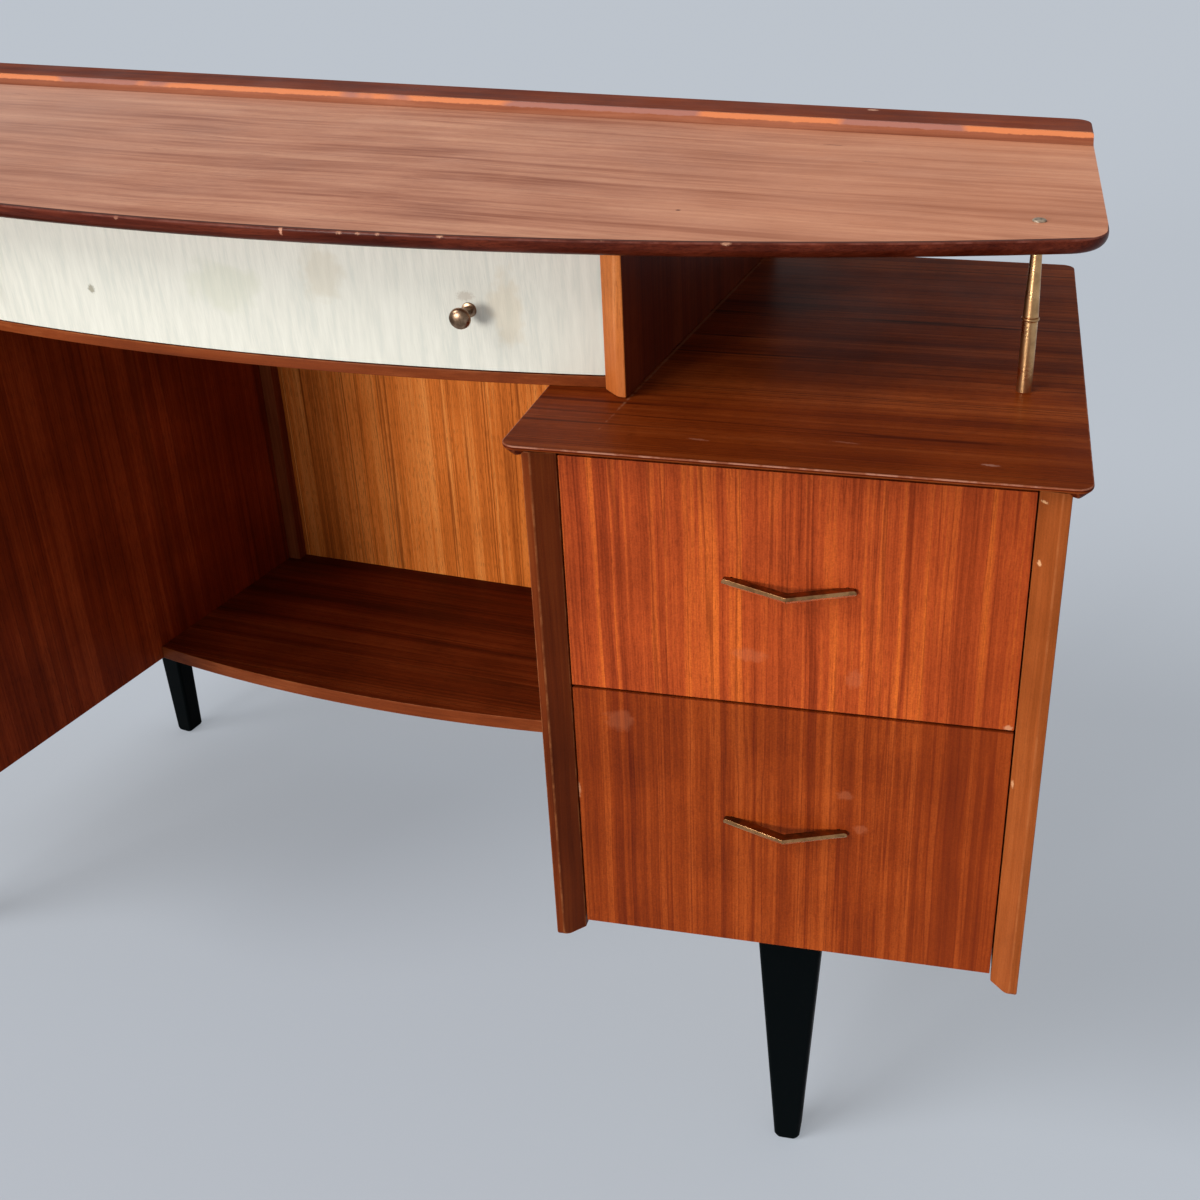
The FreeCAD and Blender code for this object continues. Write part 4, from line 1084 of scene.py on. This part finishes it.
@dataclass
class Pedestal:
    """One turned drawer pedestal without its drawers."""

    side: Side
    edge_mm: float = 0.8
    underside_z: float = 622.0
    front_out: float = -11.5
    draw_back: float = 10.0
    draw_in: float = 9.0
    undercut_tall: float = 9.5
    edge_out: float = -21.0
    case_x: float = 311.3

    def is_low(self, place: Vector) -> bool:
        """Tells whether a place lies on the top board's underside."""
        return place.z < self.underside_z + 0.5

    def undercut(self, piece: Piece) -> None:
        """Draws the front and the ends of the underside in, so that these edges slope far under.

        Args:
            piece: The top board, as the active piece in object mode.
        """
        near_mm = 1.5
        with editing():
            bpy.ops.mesh.select_mode(type="VERT")
            bpy.ops.mesh.select_all(action="DESELECT")
        for vertex in piece.data.vertices:
            place = vertex.co / MM
            vertex.select = self.is_low(place) and self.side.out_of(place) < self.front_out + near_mm
        with editing():
            bpy.ops.transform.translate(value=self.side.back * self.draw_back * MM)
        # the ends slope under too
        low = [vertex for vertex in piece.data.vertices if self.is_low(vertex.co / MM)]
        for way in (-1, 1):
            reach = max(self.side.across_of(vertex.co / MM) * way for vertex in low)
            for vertex in low:
                if self.side.across_of(vertex.co / MM) * way > reach - 2 * near_mm:
                    vertex.co -= self.side.along * self.draw_in * way * MM

    def meet_undercut(self, piece: Piece) -> None:
        """Raises the stiles' heads to follow the slope under the top's front edge.

        Args:
            piece: The stiles.
        """
        gap = 0.1
        foot = self.front_out + self.draw_back
        slope = self.undercut_tall / (foot - self.edge_out)
        for vertex in piece.data.vertices:
            place = vertex.co / MM
            if place.z > self.underside_z - 0.5:
                vertex.co.z = (self.underside_z + max(0.0, foot - self.side.out_of(place)) * slope - gap) * MM

    def dark_stile(self) -> FaceFinish:
        """Finishes the stile beside the kneehole in a darker copy of the stile wood, which paints its shade."""
        dark = replace(DARK_STILE_WOOD, name=f"{DARK_STILE_WOOD.name}_{self.side.word}")
        return FaceFinish(dark.build(), lambda middle, normal: abs(middle.x) < PEDESTAL_X, dark.build(True))

    def dark_edge(self) -> FaceFinish:
        """Finishes the top's narrow edge and undercut in a darker copy of its veneer, which paints their shade."""
        dark = replace(TOP_EDGE, name=f"{TOP_EDGE.name}_{self.side.word}", turn=self.side.turn)
        return FaceFinish(dark.build(), lambda middle, normal: normal.z < 0.5)

    def dress(self) -> None:
        """Finishes every fixed piece of the pedestal."""
        word = self.side.word
        stiles = on_side(STILE_WOOD, self.side, word, (
            Mark(153, -2, 616, 2.4, 4, 1, "#DDA878", 0.8, 1.2), Mark(153.6, -2, 575, 1.4, 4, 2.5, "#DDA878", 0.8, 1.2),
            Mark(166, 0, 612, 1.4, 5, 3, "#C98E64", 0.7, 1.2), Mark(151, -1, 408, 1.0, 4, 3, "#D9A478", 0.6, 1.2)))
        tops = on_side(PED_TOP_VENEER, self.side, word, (
            Mark(-60, 10, 634, 7, 1.2, 4, "#A8705A", 0.35, 1.5), Mark(30, 22, 634, 9, 1, 4, "#A8705A", 0.3, 1.5),
            Mark(120, 4, 634, 6, 1.4, 4, "#B98A78", 0.4, 1.5)))
        # a pale line of old glue and polish along the foot of the case
        joint = Mark(self.case_x * self.side.value, 30, 634, 1.3, 190, 3, "#9A6A50", 0.6, 4.0)
        tops = replace(tops, layers=tops.layers + (joint,))
        finishes = {"top": tops, "stiles": stiles}
        for part, finish in (("side_inner", SIDE_VENEER), ("side_outer", SIDE_VENEER), ("back", PLYWOOD),
                             ("bottom", BARE_WOOD), ("runners", BARE_WOOD)):
            finishes[part] = on_side(finish, self.side, word)
        shapes = {"top": (self.dark_edge, self.undercut), "stiles": (self.dark_stile, self.meet_undercut)}
        made: dict[str, tuple[Material, Material]] = {}
        for part, finish in finishes.items():
            if finish.name not in made:
                made[finish.name] = (finish.build(), finish.build(True))
            plain, rubbed = made[finish.name]
            second, reshape = shapes.get(part, (None, None))
            refine(f"{word}_pedestal_{part}", plain, self.edge_mm, rubbed,
                   (second(),) if second else (), reshape=reshape, clamp=part != "top")


@dataclass
class BoxDrawer:
    """One pedestal drawer: veneered front, bare box and cast brass pull."""

    side: Side
    level: str
    veneer: Wood
    edge_mm: float = 0.6
    facet_mm: float = 1.8
    pull_rise: float = 0.08
    pull_half_tall: float = 2.5
    faded_from: float = 470.0
    faded_to: float = 590.0

    def facet_pull(self, piece: Piece) -> None:
        """Slopes the lower half of the pull's front face back, as it was ground.

        Args:
            piece: The pull, as the active piece in object mode.
        """
        side = self.side
        middle_z = min(vertex.co.z for vertex in piece.data.vertices) / MM + self.pull_half_tall
        centre = side.place(0, 0, middle_z) * MM

        def below(place: Vector) -> float:
            """Gives how far a place lies below the arms' middle line, in millimetres."""
            return middle_z + self.pull_rise * abs(side.across_of(place)) - place.z

        def is_front(normal: Vector) -> bool:
            """Tells whether a face with this normal looks to the front."""
            return normal.dot(side.back) < -0.9

        with editing():
            pick_faces(piece, lambda middle, normal: is_front(normal))
            bpy.ops.mesh.bisect(plane_co=centre, plane_no=side.along)
            for way in (-1, 1):
                pick_faces(piece, lambda middle, normal: is_front(normal) and side.across_of(middle) * way > 0)
                upright = Vector((0, 0, 1)) - side.along * self.pull_rise * way
                bpy.ops.mesh.bisect(plane_co=centre, plane_no=upright.normalized())
        lower = {number for polygon in piece.data.polygons if is_front(polygon.normal)
                 for number in polygon.vertices if below(piece.data.vertices[number].co / MM) > 1}
        for number in lower:
            piece.data.vertices[number].co += side.back * self.facet_mm * MM

    @staticmethod
    def is_ground(middle: Vector, normal: Vector) -> bool:
        """Tells whether a face belongs to the pull's ground front or its lower edge, which wear the painted highlight.
        """
        return -0.8 < normal.z < -0.15 and normal.y < LOOKS_FORWARD

    def pull_ease(self, middle: Vector) -> float:
        """Eases the pull's own edges, and not those of its studs."""
        return 1.0 if self.side.out_of(middle) < -0.3 else 0.0

    def dress(self) -> None:
        """Finishes every piece of the drawer."""
        prefix = f"{self.side.word}_{self.level}_drawer"
        marks = {
            "upper": (
                Mark(144.5, 0, 451, 3, 5, 2, "#C88A64", 0.8, 2.0), Mark(-25, 0, 487, 12, 5, 5, "#C8704A", 0.22, 4.0),
                Mark(44, 0, 476, 6, 5, 7, "#C8704A", 0.22, 3.0)),
            "lower": (
                Mark(-149, 0, 360, 2, 5, 7, "#C88A64", 0.7, 2.0), Mark(-116, 0, 424, 10, 5, 9, "#AA6040", 0.25, 5.0),
                Mark(41, 0, 382, 6, 5, 4, "#AA6040", 0.3, 4.0), Mark(52, 0, 354, 5, 5, 4, "#AA6040", 0.3, 4.0))}
        # each front darker towards its outer end
        way = self.side.value
        outer = Fade(Grain.ALONG, self.faded_from * way, self.faded_to * way, "#80300F", 0.35)
        front = on_side(replace(self.veneer, layers=(outer,)), self.side, f"{self.side.word}_{self.level}",
                        marks[self.level])
        refine(f"{prefix}_front", front.build(), self.edge_mm, front.build(True))
        bare = on_side(BARE_WOOD, self.side, prefix)
        plain, rubbed = bare.build(), bare.build(True)
        for part in ("sides", "back"):
            refine(f"{prefix}_{part}", plain, self.edge_mm, rubbed)
        ply = on_side(PLYWOOD, self.side, prefix)
        refine(f"{prefix}_bottom", ply.build(), 0.0)
        brass, dark, highlit = (replace(finish, name=f"{finish.name}_{prefix}").build()
                                for finish in (PULL_BRASS, DARK_REFLECTION_BRASS, HIGHLIT_BRASS))
        # the pull's upper faces wear the painted dark reflection, its lower facet the painted highlight
        refine(f"{prefix}_pull", brass, self.edge_mm, None, (
            FaceFinish(dark, looks_up), FaceFinish(highlit, self.is_ground)), self.pull_ease, self.facet_pull, steps=3)


@dataclass
class CentreDrawer:
    """The bowed drawer with its vinyl facing and two mushroom knobs."""

    edge_mm: float = 0.6
    bow_radius: float = 1532.0
    knob_x: float = 200.0
    knob_z: float = 685.5
    facing: StreakedVinyl = StreakedVinyl()
    knob: Turning = Turning((
        (1.8, -10), (1.8, 0), (5.0, 0), (5.2, 0.3), (4.8, 0.9), (3.2, 1.3), (2.7, 3), (2.6, 9), (2.8, 13.6), (3.6, 15),
        (5.8, 16.1), (7.0, 17.0), (7.4, 18.2), (7.2, 19.4), (6.3, 20.5), (4.6, 21.4), (2.4, 21.9), (0.6, 22.0)))

    def dress(self) -> None:
        """Finishes every piece of the drawer."""
        refine("centre_drawer_facing", self.facing.build(), self.edge_mm)
        bare = replace(BARE_WOOD, name=f"{BARE_WOOD.name}_centre", grain=Grain.ALONG)
        plain, rubbed = bare.build(), bare.build(True)
        for part in ("front", "sides", "back"):
            refine(f"centre_drawer_{part}", plain, self.edge_mm, rubbed)
        refine("centre_drawer_bottom", replace(PLYWOOD, name="plain_plywood_centre").build(), 0.0)
        reach = math.sqrt(self.bow_radius ** 2 - self.knob_x ** 2)
        swing = math.degrees(math.asin(self.knob_x / self.bow_radius))
        right = self.knob.make("knob_right", KNOB_BRASS.build())
        left = twin(right, "knob_left")
        for piece, way in ((right, 1), (left, -1)):
            set_at(piece, (self.knob_x * way, BOW_Y - reach, self.knob_z), (90, 0, swing * way))
            place_on(piece, "centre_drawer_knobs")


@dataclass
class Kneehole:
    """The back panel, battens and bowed shelf between the pedestals."""

    edge_mm: float = 0.7

    def dress(self) -> None:
        """Finishes every piece of the kneehole."""
        refine("kneehole_back", KNEE_VENEER.build(), 0.0)
        batten = replace(STILE_WOOD, name="batten_wood", dark="#5A240E", mid="#7C3C1E", light="#9C5834", gloss=0.02)
        refine("kneehole_battens", batten.build(), self.edge_mm)
        lip = replace(CASE_LIP_WOOD, name="shelf_lip_wood", slot="shelf_veneer", seed=11.0)
        veneer = SHELF_VENEER.build()
        refine("shelf_board", veneer, 0.0)
        refine("shelf_front_lip", lip.build(), self.edge_mm, lip.build(True), (
            FaceFinish(veneer, looks_up),))


@dataclass
class Legs:
    """The black tapered legs with their steel plates and screws."""

    edge_mm: float = 0.8
    foot_mm: float = 6.5
    foot_cuts: tuple[float, ...] = (0.3, 1.1, 2.3, 4.0)
    plate_z: float = 240.5
    screw_x: float = 32.0
    places: tuple[float, float] = (42.0, 399.0)
    screw: SlottedScrew = SlottedScrew(3.4, 1.6, 0.8)

    def round_feet(self, piece: Piece) -> None:
        """Rounds the two corners of each foot, as they show from the front.

        Args:
            piece: The legs, as the active piece in object mode.
        """
        with editing():
            for height in self.foot_cuts:
                bpy.ops.mesh.select_all(action="SELECT")
                bpy.ops.mesh.bisect(plane_co=(0, 0, height * MM), plane_no=(0, 0, 1))
        for side in Side:
            low = [vertex for vertex in piece.data.vertices
                   if vertex.co.z < self.foot_mm * MM and vertex.co.x * side.value > 0]
            places = [side.across_of(vertex.co / MM) for vertex in low]
            middle = sum(places) / len(places)
            for vertex, across in zip(low, places):
                rise = self.foot_mm - max(vertex.co.z / MM, 0)
                inset = self.foot_mm - math.sqrt(self.foot_mm ** 2 - rise ** 2)
                vertex.co -= side.along * math.copysign(inset, across - middle) * MM

    def dress(self) -> None:
        """Finishes the legs, plates and screws."""
        paint, rubbed = BLACK_PAINT.build(), RUBBED_PAINT.build()
        for node in ("front_legs", "back_legs"):
            refine(node, paint, self.edge_mm, rubbed, reshape=self.round_feet)
        refine("leg_plates", ZINC.build(), 0.4)
        first = self.screw.make("plate_screw_0", replace(SCREW_STEEL, name="dull_plate_screw").build())
        spots = [(side, across, out) for side in Side for out in self.places
                 for across in (-self.screw_x, self.screw_x)]
        pieces = [first] + [twin(first, f"plate_screw_{number}") for number in range(1, len(spots))]
        for piece, (side, across, out) in zip(pieces, spots):
            set_at(piece, side.place(across, out, self.plate_z), (180, 0, side.turn + across))
            hold(piece, "leg_plates")


@dataclass
class Studio:
    """A pale grey-blue floor, soft light from the front left and the camera at the photograph's place."""

    tone: str = "#BCC3CB"
    floor_tone: str = "#C2C9D2"
    floor_m: float = 40.0
    lamps: tuple[tuple[str, float, float, tuple[float, float, float]], ...] = (
        ("key_sun", 1.75, 30.0, (0.575, 0.506, -0.643)), ("low_window", 1.95, 17.0, (0.34, 0.93, -0.12)))
    ambient: float = 0.47
    glossy: float = 0.35
    floor_share: float = 0.42
    focal_mm: float = 41.775
    sensor_mm: float = 36.0
    eye: tuple[float, float, float] = (0.6229, -0.956507, 0.9798)
    yaw: float = -0.279
    pitch: float = -0.450
    shift: tuple[float, float] = (-0.121537, -0.089182)
    far_m: float = 200.0

    def floor(self) -> None:
        """Lays the floor, which isn't part of the object: the camera sees part of it unshaded, so it stays pale."""
        bpy.ops.object.select_all(action="DESELECT")
        bpy.ops.mesh.primitive_plane_add(size=self.floor_m, location=(0, 0, 0))
        plane = bpy.context.active_object
        plane.name = "studio_floor"
        material, graph = new_material("matt_studio_floor")
        shader = graph.add("BsdfPrincipled", {"Base Color": self.floor_tone, "Roughness": 0.9,
                                              "Specular IOR Level": 0.05})
        plain = graph.add("Emission", {0: self.floor_tone, 1: 1.0})
        seen = graph.add("LightPath").outputs["Is Camera Ray"]
        share = graph.math("MULTIPLY", seen, self.floor_share)
        shown = graph.add("MixShader", {0: share, 1: shader.outputs[0], 2: plain.outputs[0]})
        graph.add("OutputMaterial", {0: shown.outputs[0]})
        plane.data.materials.append(material)

    def light(self) -> None:
        """Sets the key light, the low window light and the world."""
        for name, strength, angle, travel in self.lamps:
            sun = bpy.data.lights.new(name, "SUN")
            sun.energy = strength
            sun.angle = math.radians(angle)
            lamp = bpy.data.objects.new(name, sun)
            lamp.rotation_euler = Vector(travel).to_track_quat("-Z", "Y").to_euler()
            bpy.context.scene.collection.objects.link(lamp)
        world = bpy.data.worlds.new("studio_world")
        bpy.context.scene.world = world
        world.use_nodes = True
        graph = Graph(world.node_tree)
        path = graph.add("LightPath")
        plain, mirrored, shown = (
            graph.add("Background", {0: code, 1: strength}).outputs[0]
            for code, strength in (("#FFFFFF", self.ambient), ("#FFFFFF", self.glossy), (self.tone, 1.0)))
        lit = graph.add("MixShader", {0: path.outputs["Is Glossy Ray"], 1: plain, 2: mirrored})
        seen = graph.add("MixShader", {0: path.outputs["Is Camera Ray"], 1: lit.outputs[0], 2: shown})
        graph.add("OutputWorld", {0: seen.outputs[0]})

    def camera(self) -> None:
        """Places the camera where the photograph was taken from."""
        lens = bpy.data.cameras.new("main_camera")
        lens.lens = self.focal_mm
        lens.sensor_width = self.sensor_mm
        lens.shift_x, lens.shift_y = self.shift
        lens.clip_end = self.far_m
        level = math.cos(self.pitch)
        ahead = Vector((math.sin(self.yaw) * level, math.cos(self.yaw) * level, math.sin(self.pitch)))
        right = Vector((math.cos(self.yaw), -math.sin(self.yaw), 0.0))
        up = right.cross(ahead)
        turn = Matrix((right, up, -ahead)).transposed().to_4x4()
        eye = bpy.data.objects.new("main_camera", lens)
        eye.matrix_world = Matrix.Translation(self.eye) @ turn
        bpy.context.scene.collection.objects.link(eye)
        bpy.context.scene.camera = eye

    def set_up(self) -> None:
        """Builds the whole studio."""
        self.floor()
        self.light()
        self.camera()
        bpy.context.scene.view_settings.view_transform = "Standard"


def main() -> None:
    """Builds and finishes every sub-assembly, then the studio."""
    FloatingTop().dress()
    DrawerCase().dress()
    # the lower drawers wear a darker copy of the drawer veneer: painted shade on the lower fronts
    lower_veneer_painted_shade = replace(DRAWER_VENEER, dark="#5C1E0A", mid="#84340F", light="#A44A1A")
    for side in Side:
        Pedestal(side).dress()
        BoxDrawer(side, "upper", DRAWER_VENEER).dress()
        BoxDrawer(side, "lower", lower_veneer_painted_shade).dress()
    CentreDrawer().dress()
    Kneehole().dress()
    Legs().dress()
    Studio().set_up()


if __name__ == "__main__":
    main()
